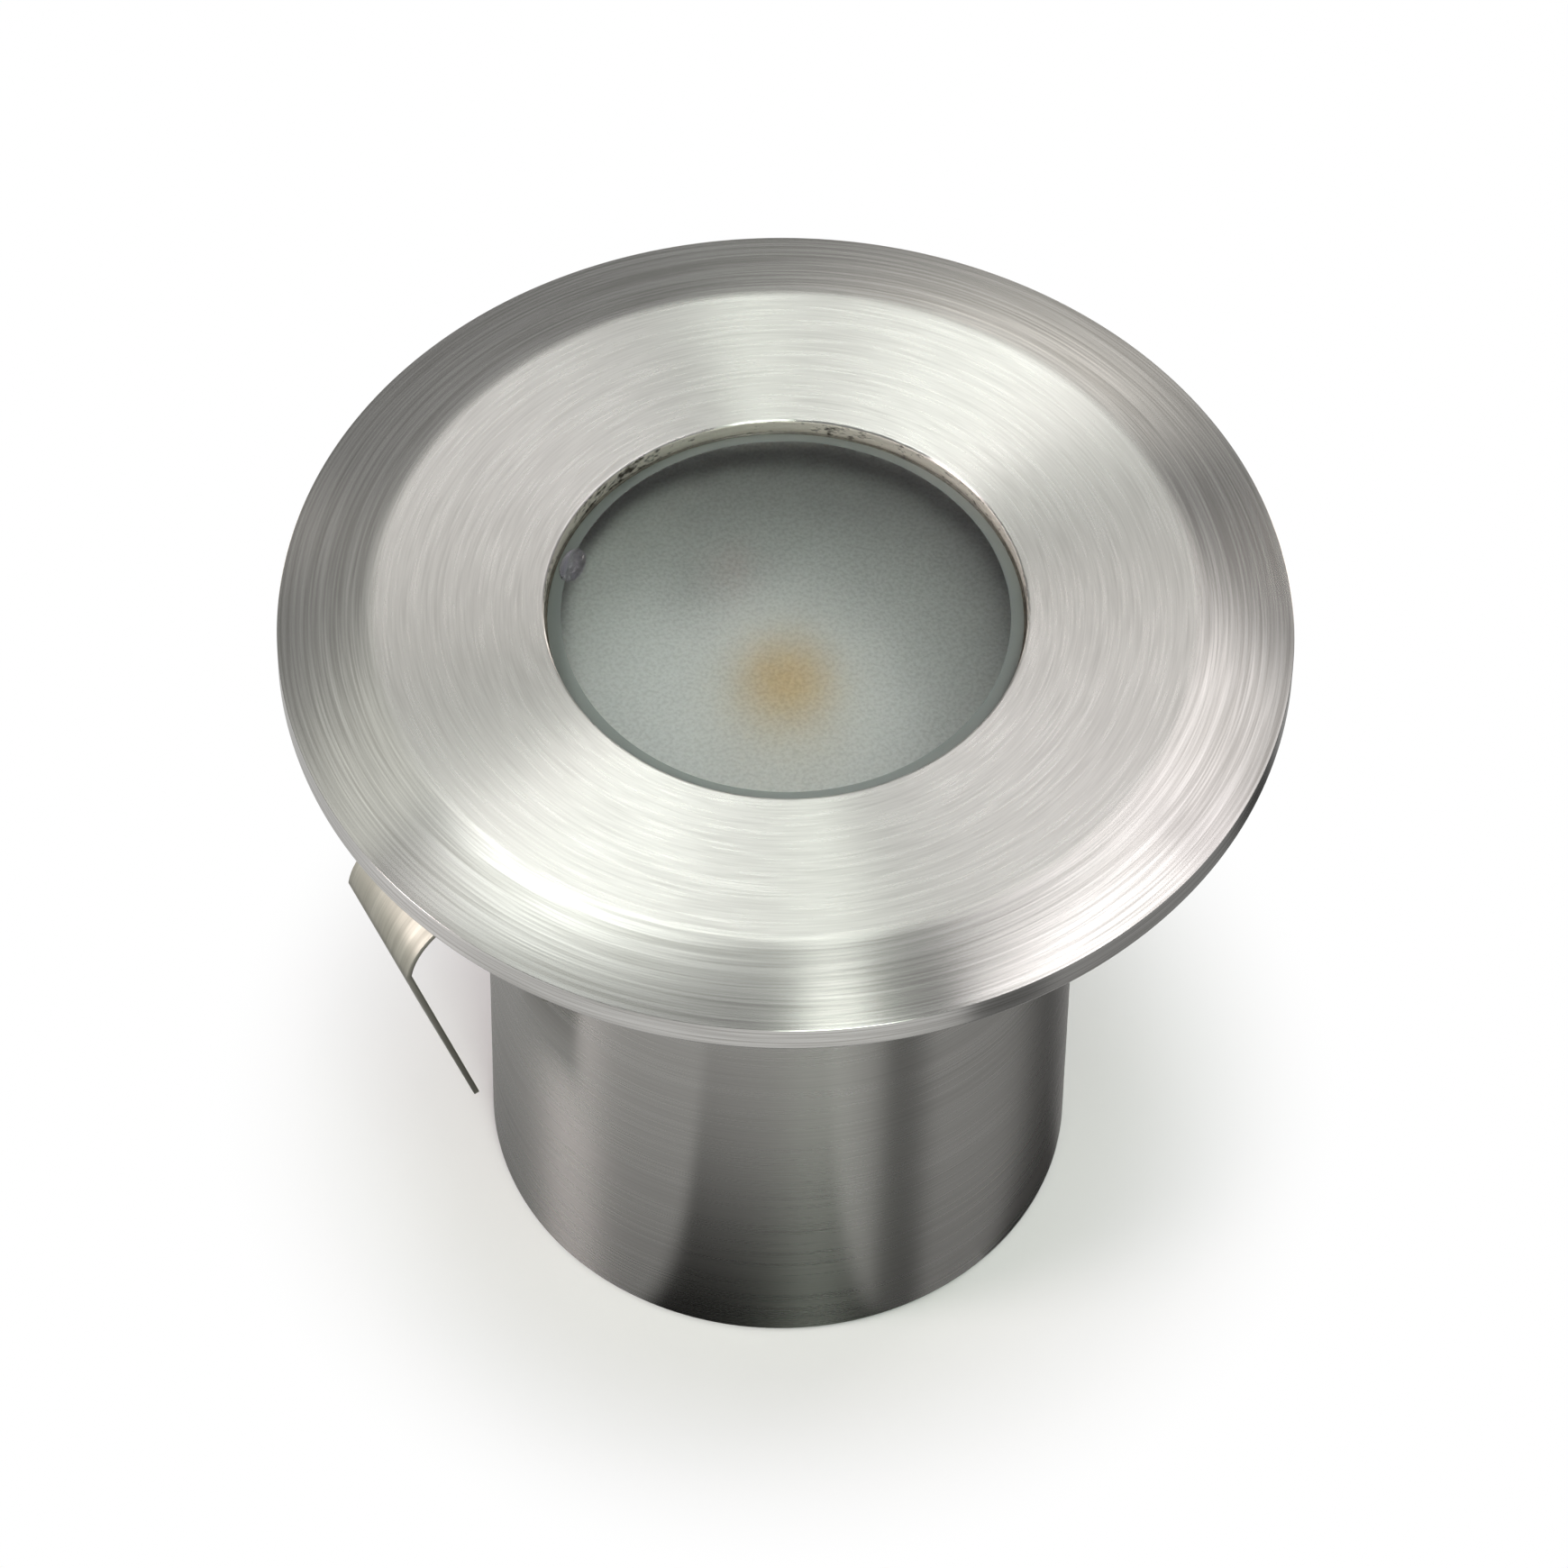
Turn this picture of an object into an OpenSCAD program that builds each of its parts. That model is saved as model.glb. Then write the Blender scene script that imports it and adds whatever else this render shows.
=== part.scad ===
/* Recessed deck light: a bevelled stainless bezel on a plain barrel, a frosted
   glass over a single warm light source, and two sprung clips that grip the hole
   in the deck. It stands on the barrel's lower edge at z = 0, the deck's surface
   meets the underside of the bezel, and the clips lie on the X axis. */

/* [Bezel] */
// Outside diameter of the bezel
bezel_d = 60; // [58:0.5:72]
// Height of the bezel's face above the deck
bezel_h = 3.2; // [2.6:0.1:4]
// Height of the rim's upright side
rim_h = 1.9; // [1.2:0.1:2.2]
// Diameter of the flat face inside the bevel
flat_d = 48.7; // [40:0.1:52]
// Radius that softens the edge between the flat face and the bevel
bevel_round = 6; // [2:0.5:9]
// Radius of the rim's two outer edges
rim_round = 0.25; // [0.1:0.05:0.4]
// Diameter of the window
window_d = 28.5; // [27:0.1:31]

/* [Barrel] */
// Outside diameter of the barrel
barrel_d = 36; // [33:0.1:40]
// Height from the barrel's lower edge to the deck's surface
barrel_h = 46; // [42:0.5:60]
// Wall of the barrel
barrel_wall = 1.2; // [0.8:0.1:1.3]
// Depth of the step in the bezel that locates the barrel
seat_depth = 0.3; // [0.2:0.1:0.5]
// Chamfer on the barrel's lower edge
foot_chamfer = 0.2; // [0.1:0.05:0.4]
// Height of the recess under the base plate
recess_h = 10; // [9:0.5:13]
// Thickness of the base plate
base_t = 2; // [1.5:0.1:2.5]

/* [Glass and seals] */
// Thickness of the glass
lens_t = 3; // [2:0.1:3.4]
// Depth of the glass below the face
lens_sink = 0.75; // [0.3:0.05:1.2]
// Gap between the glass and the window's wall
lens_gap = 0.2; // [0.15:0.05:0.4]
// Chamfer on the glass
lens_chamfer = 0.4; // [0.2:0.05:0.6]
// Thickness of the gasket under the glass
gasket_t = 0.5; // [0.3:0.1:0.8]
// Width of the ledge that carries the glass
ledge_w = 1.05; // [0.8:0.05:1.5]
// Height of the ledge
ledge_t = 1; // [0.8:0.1:1.4]
// Wall of the neck
neck_wall = 3.5; // [3.2:0.1:3.7]
// Length of the neck below the deck's surface
neck_len = 10; // [9:0.5:12]
// Thickness of the O-ring
oring_d = 1.5; // [1:0.1:1.6]
// Depth of the O-ring's groove below the deck's surface
oring_drop = 2.2; // [1.5:0.1:3]

/* [Light source] */
// Depth of the light source below the deck's surface
led_drop = 4.3; // [3.5:0.1:5]
// Side of the light source's package
led_side = 5; // [4:0.1:6]
// Height of the light source's package
led_h = 1; // [0.8:0.1:1.4]
// Diameter of the yellow phosphor
phosphor_d = 3.9; // [3:0.1:3.9]
// Depth of the phosphor
phosphor_t = 0.5; // [0.3:0.1:0.6]
// Thickness of the light source's board
led_board_t = 1.2; // [1:0.1:1.6]
// Gap between the light source's board and the neck
led_board_gap = 0.3; // [0.2:0.05:0.6]
// Thickness of the thermal pad
pad_t = 0.3; // [0.2:0.1:0.6]

/* [Heat sink] */
// Thickness of the heat sink's flange
sink_flange_t = 2; // [1.8:0.1:2.6]
// Space between the fins and the tallest component below them
fin_gap = 0.8; // [0.5:0.1:1.5]
// Thickness of a fin
fin_t = 1.2; // [0.8:0.1:1.3]
// Spacing of the fins
fin_pitch = 2.8; // [2.7:0.1:3.4]
// Space between the block of fins and the barrel
fin_margin = 3; // [2.8:0.1:4]
// Thread diameter of the small screws
screw_d = 2; // [1.6:0.1:2.2]
// Head diameter of the small screws
screw_head_d = 3.2; // [2.8:0.1:3.5]
// Head height of the small screws
screw_head_h = 1.3; // [1:0.1:1.5]
// Length of the small screws under the head
screw_len = 5; // [4:0.5:5.5]

/* [Driver] */
// Space for the cable between the gland and the terminal block
terminal_gap = 2.3; // [2:0.1:3]
// Width across the flats of the stand-offs
standoff_af = 3.5; // [3.2:0.1:4]
// Thickness of the driver board
driver_board_t = 1.2; // [1:0.1:1.6]
// Diameter of the inductor
inductor_d = 6; // [4:0.1:6.5]
// Height of the inductor
inductor_h = 3.6; // [3:0.1:4]
// Diameter of the capacitors
capacitor_d = 4; // [3:0.1:4.5]
// Height of the capacitors
capacitor_h = 4.2; // [3:0.1:4.4]
// Width of the terminal block
terminal_w = 8; // [7:0.1:9]
// Depth of the terminal block
terminal_l = 6; // [5:0.1:6.4]
// Height of the terminal block
terminal_h = 5; // [4:0.1:5.5]
// Diameter of a lead over its insulation
lead_d = 1.1; // [0.8:0.05:1.2]
// Distance of the leads from the edge of the light source's board
lead_inset = 4.4; // [3.5:0.1:5]

/* [Cable gland] */
// Thread diameter of the gland
gland_d = 12; // [11.5:0.1:12.4]
// Width across the flats of the gland's hexagons
gland_af = 15; // [14.6:0.1:16]
// Diameter of the cable that the gland takes
cable_d = 6; // [4:0.1:6.4]
// Height of the gland body's hexagon
gland_hex_h = 2.4; // [2:0.1:3]
// Height of the clamping nut
gland_nut_h = 5; // [4.6:0.1:5.6]
// Wall of the gland body round the seal
gland_wall = 0.9; // [0.7:0.1:1.2]
// Thickness of the sealing washer
gland_washer_t = 0.8; // [0.5:0.1:1]
// Thickness of the locknut
locknut_t = 3; // [2:0.1:3.2]

/* [Spring clips] */
// Width of the clip's strip
clip_w = 8; // [6:0.1:9]
// Thickness of the clip's strip
clip_t = 0.35; // [0.25:0.05:0.5]
// Radius of the clip's bend, to the middle of the strip
clip_bend_r = 4.72; // [4:0.02:5]
// Depth of the bend's centre below the deck's surface
clip_drop = 11; // [9:0.5:11.5]
// Length of the leg that is fixed to the barrel
clip_leg = 9.5; // [8.5:0.5:10]
// Length of the free leg below the elbow
clip_free_leg = 15; // [10:0.5:16]
// Lean of the free leg towards the barrel
clip_lean = 15.6; // [10:0.2:16]
// Height of the elbow on the bend, as an angle
clip_elbow = 8.5; // [0:0.5:20]
// Diameter of the rivets
rivet_d = 1.6; // [1.4:0.1:2]

/* [Hidden] */
$fn = 96;

// Clearances: faces that meet, parts that slide together, a screw in its hole
touch = 0.02;
slip = 0.1;
screw_slack = 0.05;
// Facets of an arc in an outline, and of a hexagon
arc_steps = 8;
hex_sides = 6;
// A hexagon's corner radius over half its width across the flats
hex_scale = 1 / cos(180 / hex_sides);
// Screws that hold the heat sink, and stand-offs between them
screw_count = 3;
// Extra length of a cut past the face that it opens
through = 1;

// Heights, from the top down
z_deck = barrel_h;
z_face = z_deck + bezel_h;
z_rim = z_deck + rim_h;
z_lens_top = z_face - lens_sink;
z_lens_bottom = z_lens_top - lens_t;
z_ledge = z_lens_bottom - gasket_t;
z_emitter = z_deck - led_drop;
z_led_board_top = z_emitter - led_h;
z_led_board = z_led_board_top - led_board_t;
z_sink_top = z_led_board - pad_t;
z_neck_end = z_deck - neck_len;
z_flange_bottom = z_neck_end - sink_flange_t;
z_base = recess_h;
z_base_top = z_base + base_t;
z_gland_end = z_base_top + locknut_t + 5 * slip;
z_terminal = z_gland_end + terminal_gap;
z_driver_bottom = z_terminal + terminal_h;
z_driver_top = z_driver_bottom + driver_board_t;
z_fins_bottom = z_driver_top + max(inductor_h, capacitor_h) + fin_gap;

// Radii
bezel_r = bezel_d / 2;
flat_r = flat_d / 2;
window_r = window_d / 2;
barrel_r = barrel_d / 2;
barrel_ir = barrel_r - barrel_wall;
neck_r = barrel_ir - slip;
neck_bore_r = neck_r - neck_wall;
lens_r = window_r - lens_gap;
ledge_r = lens_r - ledge_w;
led_board_r = neck_bore_r - led_board_gap;
oring_r = barrel_ir - touch - oring_d / 2;
groove_r = oring_r - oring_d / 2 - touch;
groove_h = oring_d + 2 * slip;
screw_r = screw_d / 2;
screw_hole_r = screw_r + screw_slack;

// Bevel of the bezel
bevel_angle = atan2(z_face - z_rim, bezel_r - flat_r);
bevel_tangent = bevel_round * tan(bevel_angle / 2);
bevel_centre = [flat_r - bevel_tangent, z_face - bevel_round];
rim_centre = [bezel_r - rim_round, z_rim - rim_round];
rim_low_centre = [bezel_r - rim_round, z_deck + rim_round];

// Heat sink and driver
sink_pitch_r = (neck_bore_r + neck_r) / 2;
sink_flange_r = barrel_ir - 4 * slip;
sink_tap_depth = screw_len - sink_flange_t + 4 * slip;
first_screw_angle = 90;
standoff_r = sink_flange_r - standoff_af / 2 * hex_scale - slip;
standoff_stud = sink_flange_t - 4 * slip;
standoff_turn = 360 / screw_count / 2;
standoff_len = z_flange_bottom - z_driver_top;
driver_board_r = barrel_ir - 6 * slip;
fin_block_r = barrel_ir - fin_margin;
fin_h = z_flange_bottom - z_fins_bottom;
fins_each_side = floor((fin_block_r - fin_t / 2) / fin_pitch);
lead_x = fin_pitch / 2;
lead_y = led_board_r - lead_inset;
lead_hole_r = lead_d / 2 + 3 * slip;
solder_d = lead_d + 4 * slip;

// Components of the driver, on the board's upper side, placed as shares of its radius
inductor_at = driver_board_r * [-0.4, -0.15];
capacitor_at = [driver_board_r * [0.4, 0.04], driver_board_r * [0.35, -0.28]];
chip_at = driver_board_r * [0, -0.46];
chip_size = [4.9, 3.9, 1.5];
rectifier_at = driver_board_r * [0, 0.17];
rectifier_size = [4.7, 3.9, 1.6];
resistor_size = [2, 1.2, 0.5];
resistor_at = [
    driver_board_r * [-0.36, -0.48],
    driver_board_r * [0.36, -0.58],
    driver_board_r * [-0.4, 0.28]
];
pin_w = 0.4;
pin_pitch = 1.27;
pin_count = 4;
pin_reach = 1;
// Terminal block, on the board's underside
terminal_y = driver_board_r * 0.28;
terminal_entry_r = 1.3;
terminal_screw_r = 1;
terminal_screw_depth = 2;
terminal_entry_z = 2.2;

// Cable gland
gland_r = gland_d / 2;
z_gland_hex = z_base - gland_washer_t - gland_hex_h;
z_gland_nut_top = z_gland_hex - 2 * slip;
z_gland_nut = z_gland_nut_top - gland_nut_h;
gland_lip = 1;
z_seal = z_gland_nut + gland_lip + touch;
z_seal_top = z_gland_hex + 2 * slip;
gland_spigot_r = gland_r - 2 * slip;
gland_bore_r = cable_d / 2 + 5 * slip;
gland_cup_r = gland_spigot_r - gland_wall;
seal_bore_r = cable_d / 2 + slip;

// Clips: the strip's middle line runs up the barrel, over the crest and down to the elbow
clip_leg_x = barrel_r + touch + clip_t / 2;
clip_centre = [clip_leg_x + clip_bend_r, z_deck - clip_drop];
clip_foot_z = clip_centre[1] - clip_leg;
crest_z = clip_centre[1] + clip_bend_r;
hinge_gap = 0.05;
elbow_x = clip_centre[0] + clip_bend_r * cos(clip_elbow);
elbow_z = clip_centre[1] + clip_bend_r * sin(clip_elbow);
rivet_r = rivet_d / 2;
rivet_zs = [clip_foot_z + clip_leg * 0.15, clip_foot_z + clip_leg * 0.55];
rivet_head_r = rivet_d * 0.95;
rivet_head_h = rivet_d * 0.4;
rivet_bulb_r = rivet_d * 0.8;
rivet_bulb_l = rivet_d;
rivet_bulb_x = sqrt(barrel_ir * barrel_ir - rivet_bulb_r * rivet_bulb_r) - touch;
board_half_w = rivet_bulb_x - rivet_bulb_l - 3 * slip;

steel = "#C6C3BD";
spring_steel = "#B9B1A2";
glass = "#9DA8A2";
rubber = "#262626";
brass = "#C8A85A";
aluminium = "#B8BBBE";
plastic = "#2B2D30";

// Points of an arc, from one angle to another
function arc(centre, r, from, to) =
    [for (i = [0:arc_steps]) centre + r * [
        cos(from + (to - from) * i / arc_steps),
        sin(from + (to - from) * i / arc_steps)
    ]];

// Ring of rectangular section between two heights
module ring(r_out, r_in, low, high) {
    translate([0, 0, low])
        difference() {
            cylinder(r = r_out, h = high - low);
            translate([0, 0, -through])
                cylinder(r = r_in, h = high - low + 2 * through);
        }
}

// Copies round the axis
module around(count, r, first) {
    for (i = [0:count - 1])
        rotate([0, 0, first + 360 * i / count])
            translate([r, 0, 0])
                children();
}

// Hexagonal bar with its lower face at z = 0
module hex_bar(across_flats, h) {
    cylinder(r = across_flats / 2 * hex_scale, h = h, $fn = hex_sides);
}

// Pan head screw pointing up, with the underside of its head at z = 0 and a cross recess
module pan_screw(length) {
    crown_r = screw_head_d * 0.4;
    slot_l = screw_head_d * 0.55;
    slot_w = screw_head_d * 0.14;
    difference() {
        union() {
            cylinder(r = screw_r, h = length);
            translate([0, 0, -screw_head_h])
                cylinder(r1 = crown_r, r2 = screw_head_d / 2, h = screw_head_h);
        }
        for (turn = [0, 90])
            rotate([0, 0, turn])
                translate([0, 0, -screw_head_h])
                    cube([slot_l, slot_w, screw_head_h], center = true);
    }
}

// Bezel: flange, window and neck turned as one piece
module bezel() {
    color(steel)
        difference() {
            rotate_extrude()
                polygon(concat(
                    [[window_r, z_face]],
                    arc(bevel_centre, bevel_round, 90, 90 - bevel_angle),
                    arc(rim_centre, rim_round, 90 - bevel_angle, 0),
                    arc(rim_low_centre, rim_round, 0, -90),
                    [
                        [barrel_r + slip, z_deck],
                        [barrel_r + slip, z_deck + seat_depth],
                        [neck_r, z_deck + seat_depth],
                        [neck_r, z_deck - oring_drop],
                        [groove_r, z_deck - oring_drop],
                        [groove_r, z_deck - oring_drop - groove_h],
                        [neck_r, z_deck - oring_drop - groove_h],
                        [neck_r, z_neck_end],
                        [neck_bore_r, z_neck_end],
                        [neck_bore_r, z_ledge - ledge_t],
                        [ledge_r, z_ledge - ledge_t],
                        [ledge_r, z_ledge],
                        [window_r, z_ledge]
                    ]
                ));
            around(screw_count, sink_pitch_r, first_screw_angle)
                translate([0, 0, z_neck_end - through])
                    cylinder(r = screw_hole_r, h = sink_tap_depth + through);
        }
}

// Barrel: plain tube with the rivet holes of both clips
module housing_tube() {
    color(steel)
        difference() {
            rotate_extrude()
                polygon([
                    [barrel_ir, 0],
                    [barrel_r - foot_chamfer, 0],
                    [barrel_r, foot_chamfer],
                    [barrel_r, z_deck + seat_depth - touch],
                    [barrel_ir, z_deck + seat_depth - touch]
                ]);
            for (z = rivet_zs)
                translate([0, 0, z])
                    rotate([0, 90, 0])
                        cylinder(r = rivet_r + screw_slack, h = 2 * barrel_d, center = true);
        }
}

// Base plate: disc welded in the barrel above the recess, with the gland's hole
module base_plate() {
    color(steel)
        ring(barrel_ir - touch, gland_r + slip, z_base, z_base_top);
}

// Glass with a chamfer round its upper edge
module lens() {
    color(glass, 0.8)
        rotate_extrude()
            polygon([
                [0, z_lens_bottom],
                [lens_r, z_lens_bottom],
                [lens_r, z_lens_top - lens_chamfer],
                [lens_r - lens_chamfer, z_lens_top],
                [0, z_lens_top]
            ]);
}

module lens_gasket() {
    color(rubber)
        ring(lens_r, ledge_r, z_ledge, z_lens_bottom);
}

// Sealant in the gap round the glass, up to the chamfer
module lens_adhesive() {
    color("#8E8B82")
        ring(window_r - touch, lens_r + touch, z_lens_bottom, z_lens_top - lens_chamfer);
}

module neck_o_ring() {
    color(rubber)
        translate([0, 0, z_deck - oring_drop - groove_h / 2])
            rotate_extrude()
                translate([oring_r, 0])
                    circle(r = oring_d / 2);
}

// White metal-core board with two holes for the leads
module led_board() {
    color("#E8E8E2")
        difference() {
            translate([0, 0, z_led_board])
                cylinder(r = led_board_r, h = led_board_t);
            lead_holes(z_led_board, z_led_board_top);
        }
}

module led_package() {
    color("#F2F0E8")
        difference() {
            translate([-led_side / 2, -led_side / 2, z_led_board_top])
                cube([led_side, led_side, led_h]);
            translate([0, 0, z_emitter - phosphor_t])
                cylinder(r = phosphor_d / 2 + touch, h = phosphor_t + through);
        }
}

module led_phosphor() {
    color("#E3C766")
        translate([0, 0, z_emitter - phosphor_t])
            cylinder(r = phosphor_d / 2, h = phosphor_t);
}

module thermal_pad() {
    color("#9AA4AE")
        difference() {
            translate([0, 0, z_sink_top])
                cylinder(r = led_board_r, h = pad_t);
            lead_holes(z_sink_top, z_led_board);
        }
}

// Clearance holes for both leads between two heights
module lead_holes(low, high) {
    for (side = [-1, 1])
        translate([side * lead_x, lead_y, low - through])
            cylinder(r = lead_hole_r, h = high - low + 2 * through);
}

// Heat sink: boss under the board, flange on the neck's end, fins below
module heat_sink() {
    color(aluminium)
        difference() {
            union() {
                translate([0, 0, z_neck_end])
                    cylinder(r = led_board_r, h = z_sink_top - z_neck_end);
                translate([0, 0, z_flange_bottom])
                    cylinder(r = sink_flange_r, h = sink_flange_t);
                difference() {
                    intersection() {
                        translate([0, 0, z_fins_bottom])
                            cylinder(r = fin_block_r, h = fin_h);
                        for (i = [-fins_each_side:fins_each_side])
                            translate([i * fin_pitch - fin_t / 2, -barrel_r, z_fins_bottom])
                                cube([fin_t, barrel_d, fin_h]);
                    }
                    around(screw_count, standoff_r, first_screw_angle + standoff_turn)
                        translate([0, 0, z_fins_bottom - through])
                            cylinder(r = standoff_af, h = fin_h + through);
                    around(screw_count, sink_pitch_r, first_screw_angle)
                        translate([0, 0, z_fins_bottom - through])
                            cylinder(r = screw_head_d, h = fin_h + through);
                }
            }
            lead_holes(z_flange_bottom, z_sink_top);
            around(screw_count, sink_pitch_r, first_screw_angle)
                translate([0, 0, z_flange_bottom - through])
                    cylinder(r = screw_hole_r, h = sink_flange_t + 2 * through);
            around(screw_count, standoff_r, first_screw_angle + standoff_turn)
                translate([0, 0, z_flange_bottom - through])
                    cylinder(r = screw_hole_r, h = standoff_stud + slip + through);
        }
}

module heat_sink_screws() {
    color(brass)
        around(screw_count, sink_pitch_r, first_screw_angle)
            translate([0, 0, z_flange_bottom])
                pan_screw(screw_len);
}

// Driver board, hung under the heat sink, with two flats that let the rivets pass
module driver_board() {
    color("#2F6B45")
        difference() {
            intersection() {
                translate([0, 0, z_driver_bottom])
                    cylinder(r = driver_board_r, h = driver_board_t);
                translate([-board_half_w, -barrel_r, z_driver_bottom])
                    cube([2 * board_half_w, barrel_d, driver_board_t]);
            }
            around(screw_count, standoff_r, first_screw_angle + standoff_turn)
                translate([0, 0, z_driver_bottom - through])
                    cylinder(r = screw_hole_r, h = driver_board_t + 2 * through);
        }
}

// Wound drum between two cheeks
module driver_inductor() {
    cheek = inductor_h / 5;
    color("#4A4440")
        translate([inductor_at[0], inductor_at[1], z_driver_top]) {
            cylinder(r = inductor_d / 2, h = cheek);
            cylinder(r = inductor_d / 2 - cheek, h = inductor_h);
            translate([0, 0, inductor_h - cheek])
                cylinder(r = inductor_d / 2, h = cheek);
        }
}

module driver_capacitors() {
    color("#39424F")
        for (at = capacitor_at)
            translate([at[0], at[1], z_driver_top])
                cylinder(r = capacitor_d / 2, h = capacitor_h);
}

// Flat chip with a row of pins on two sides
module chip(at, size) {
    translate([at[0], at[1], z_driver_top]) {
        translate([-size[0] / 2, -size[1] / 2, pin_w / 2])
            cube([size[0], size[1], size[2]]);
        for (side = [-1, 1], i = [0:pin_count - 1])
            translate([
                (i - (pin_count - 1) / 2) * pin_pitch - pin_w / 2,
                side * (size[1] + pin_reach) / 2 - pin_reach,
                0
            ])
                cube([pin_w, 2 * pin_reach, pin_w]);
    }
}

module driver_chip() {
    color(plastic)
        chip(chip_at, chip_size);
}

module bridge_rectifier() {
    color(plastic)
        chip(rectifier_at, rectifier_size);
}

module driver_resistors() {
    color("#1F2226")
        for (at = resistor_at)
            translate([
                at[0] - resistor_size[0] / 2,
                at[1] - resistor_size[1] / 2,
                z_driver_top
            ])
                cube(resistor_size);
}

// Two-way terminal block under the board: wires enter from the middle, screws from below
module terminal_block() {
    color("#2E7A50")
        difference() {
            translate([-terminal_w / 2, terminal_y, z_terminal])
                cube([terminal_w, terminal_l, terminal_h]);
            for (side = [-1, 1])
                translate([side * terminal_w / 4, terminal_y, z_driver_bottom - terminal_entry_z]) {
                    rotate([90, 0, 0])
                        cylinder(r = terminal_entry_r, h = terminal_l, center = true);
                }
            for (side = [-1, 1])
                translate([
                    side * terminal_w / 4,
                    terminal_y + terminal_l / 2 + terminal_screw_r,
                    z_terminal - through
                ])
                    cylinder(r = terminal_screw_r + touch, h = terminal_screw_depth + through);
        }
}

module terminal_screws() {
    color(brass)
        for (side = [-1, 1])
            translate([
                side * terminal_w / 4,
                terminal_y + terminal_l / 2 + terminal_screw_r,
                z_terminal
            ])
                difference() {
                    cylinder(r = terminal_screw_r, h = terminal_screw_depth);
                    cube([2 * terminal_screw_r, pin_w, pin_w], center = true);
                }
}

// Hexagonal stand-offs, screwed into the heat sink, with a tapped lower end
module standoffs() {
    color(brass)
        around(screw_count, standoff_r, first_screw_angle + standoff_turn)
            difference() {
                union() {
                    translate([0, 0, z_driver_top])
                        hex_bar(standoff_af, standoff_len);
                    translate([0, 0, z_flange_bottom])
                        cylinder(r = screw_r, h = standoff_stud);
                }
                translate([0, 0, z_driver_top - through])
                    cylinder(r = screw_hole_r, h = screw_len + through);
            }
}

module standoff_screws() {
    color(steel)
        around(screw_count, standoff_r, first_screw_angle + standoff_turn)
            translate([0, 0, z_driver_bottom])
                pan_screw(screw_len);
}

// Insulated lead from the driver board up through the heat sink, soldered at both ends
module lead(side) {
    translate([side * lead_x, lead_y, z_driver_top]) {
        cylinder(r1 = solder_d / 2, r2 = lead_d / 2, h = lead_d);
        cylinder(r = lead_d / 2, h = z_led_board_top - z_driver_top + lead_d);
        translate([0, 0, z_led_board_top - z_driver_top + lead_d])
            sphere(r = lead_d / 2);
    }
}

module lead_positive() {
    color("#B32D22")
        lead(1);
}

module lead_negative() {
    color("#222222")
        lead(-1);
}

// Gland body: shank up through the base plate, hexagon, and a spigot that holds the seal
module gland_body() {
    color(brass)
        difference() {
            union() {
                translate([0, 0, z_gland_hex])
                    cylinder(r = gland_r - touch, h = z_gland_end - z_gland_hex);
                translate([0, 0, z_gland_hex])
                    hex_bar(gland_af, gland_hex_h);
                translate([0, 0, z_seal])
                    cylinder(r = gland_spigot_r, h = z_gland_hex - z_seal);
            }
            translate([0, 0, z_seal - through])
                cylinder(r = gland_bore_r, h = z_gland_end - z_seal + 2 * through);
            translate([0, 0, z_seal - through])
                cylinder(r = gland_cup_r, h = z_seal_top - z_seal + through);
        }
}

module gland_washer() {
    color(rubber)
        ring(gland_af / 2, gland_r, z_base - gland_washer_t, z_base);
}

module gland_locknut() {
    color(brass)
        difference() {
            translate([0, 0, z_base_top])
                hex_bar(gland_af, locknut_t);
            translate([0, 0, z_base_top - through])
                cylinder(r = gland_r, h = locknut_t + 2 * through);
        }
}

module gland_seal() {
    color(rubber)
        ring(gland_cup_r - touch, seal_bore_r, z_seal, z_seal_top);
}

// Clamping nut, with a lip under the seal
module gland_nut() {
    color(brass)
        difference() {
            translate([0, 0, z_gland_nut])
                hex_bar(gland_af, gland_nut_h);
            translate([0, 0, z_seal - touch])
                cylinder(r = gland_spigot_r + slip, h = gland_nut_h);
            translate([0, 0, z_gland_nut - through])
                cylinder(r = gland_bore_r, h = gland_nut_h);
        }
}

// Strip of the clip's thickness along an arc of the bend, in the plane of the clip
module clip_arc(from, to) {
    reach = 2 * clip_bend_r;
    translate(clip_centre)
        intersection() {
            difference() {
                circle(r = clip_bend_r + clip_t / 2);
                circle(r = clip_bend_r - clip_t / 2);
            }
            polygon([
                [0, 0],
                reach * [cos(from), sin(from)],
                reach * [cos((from + to) / 2), sin((from + to) / 2)],
                reach * [cos(to), sin(to)]
            ]);
        }
}

// Gives a drawing of the clip its width
module clip_strip() {
    rotate([90, 0, 0])
        linear_extrude(height = clip_w, center = true)
            children();
}

// Fixed half: the leg on the barrel and the bend up to its crest
module clip_anchor() {
    difference() {
        clip_strip()
            difference() {
                union() {
                    translate([clip_leg_x - clip_t / 2, clip_foot_z])
                        square([clip_t, clip_leg]);
                    clip_arc(90, 180);
                }
                translate([clip_centre[0], crest_z])
                    circle(r = clip_t / 2 + hinge_gap);
            }
        for (z = rivet_zs)
            translate([clip_leg_x, 0, z])
                rotate([0, 90, 0])
                    cylinder(r = rivet_r + screw_slack, h = through, center = true);
    }
}

// Springing half: a rolled end at the crest, the bend down to the elbow, and the free leg
module clip_leaf() {
    clip_strip() {
        translate([clip_centre[0], crest_z])
            circle(r = clip_t / 2);
        clip_arc(clip_elbow, 90);
        translate([elbow_x, elbow_z])
            circle(r = clip_t / 2);
        translate([elbow_x, elbow_z])
            rotate(-clip_lean)
                translate([-clip_t / 2, -clip_free_leg])
                    square([clip_t, clip_free_leg]);
    }
}

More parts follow.
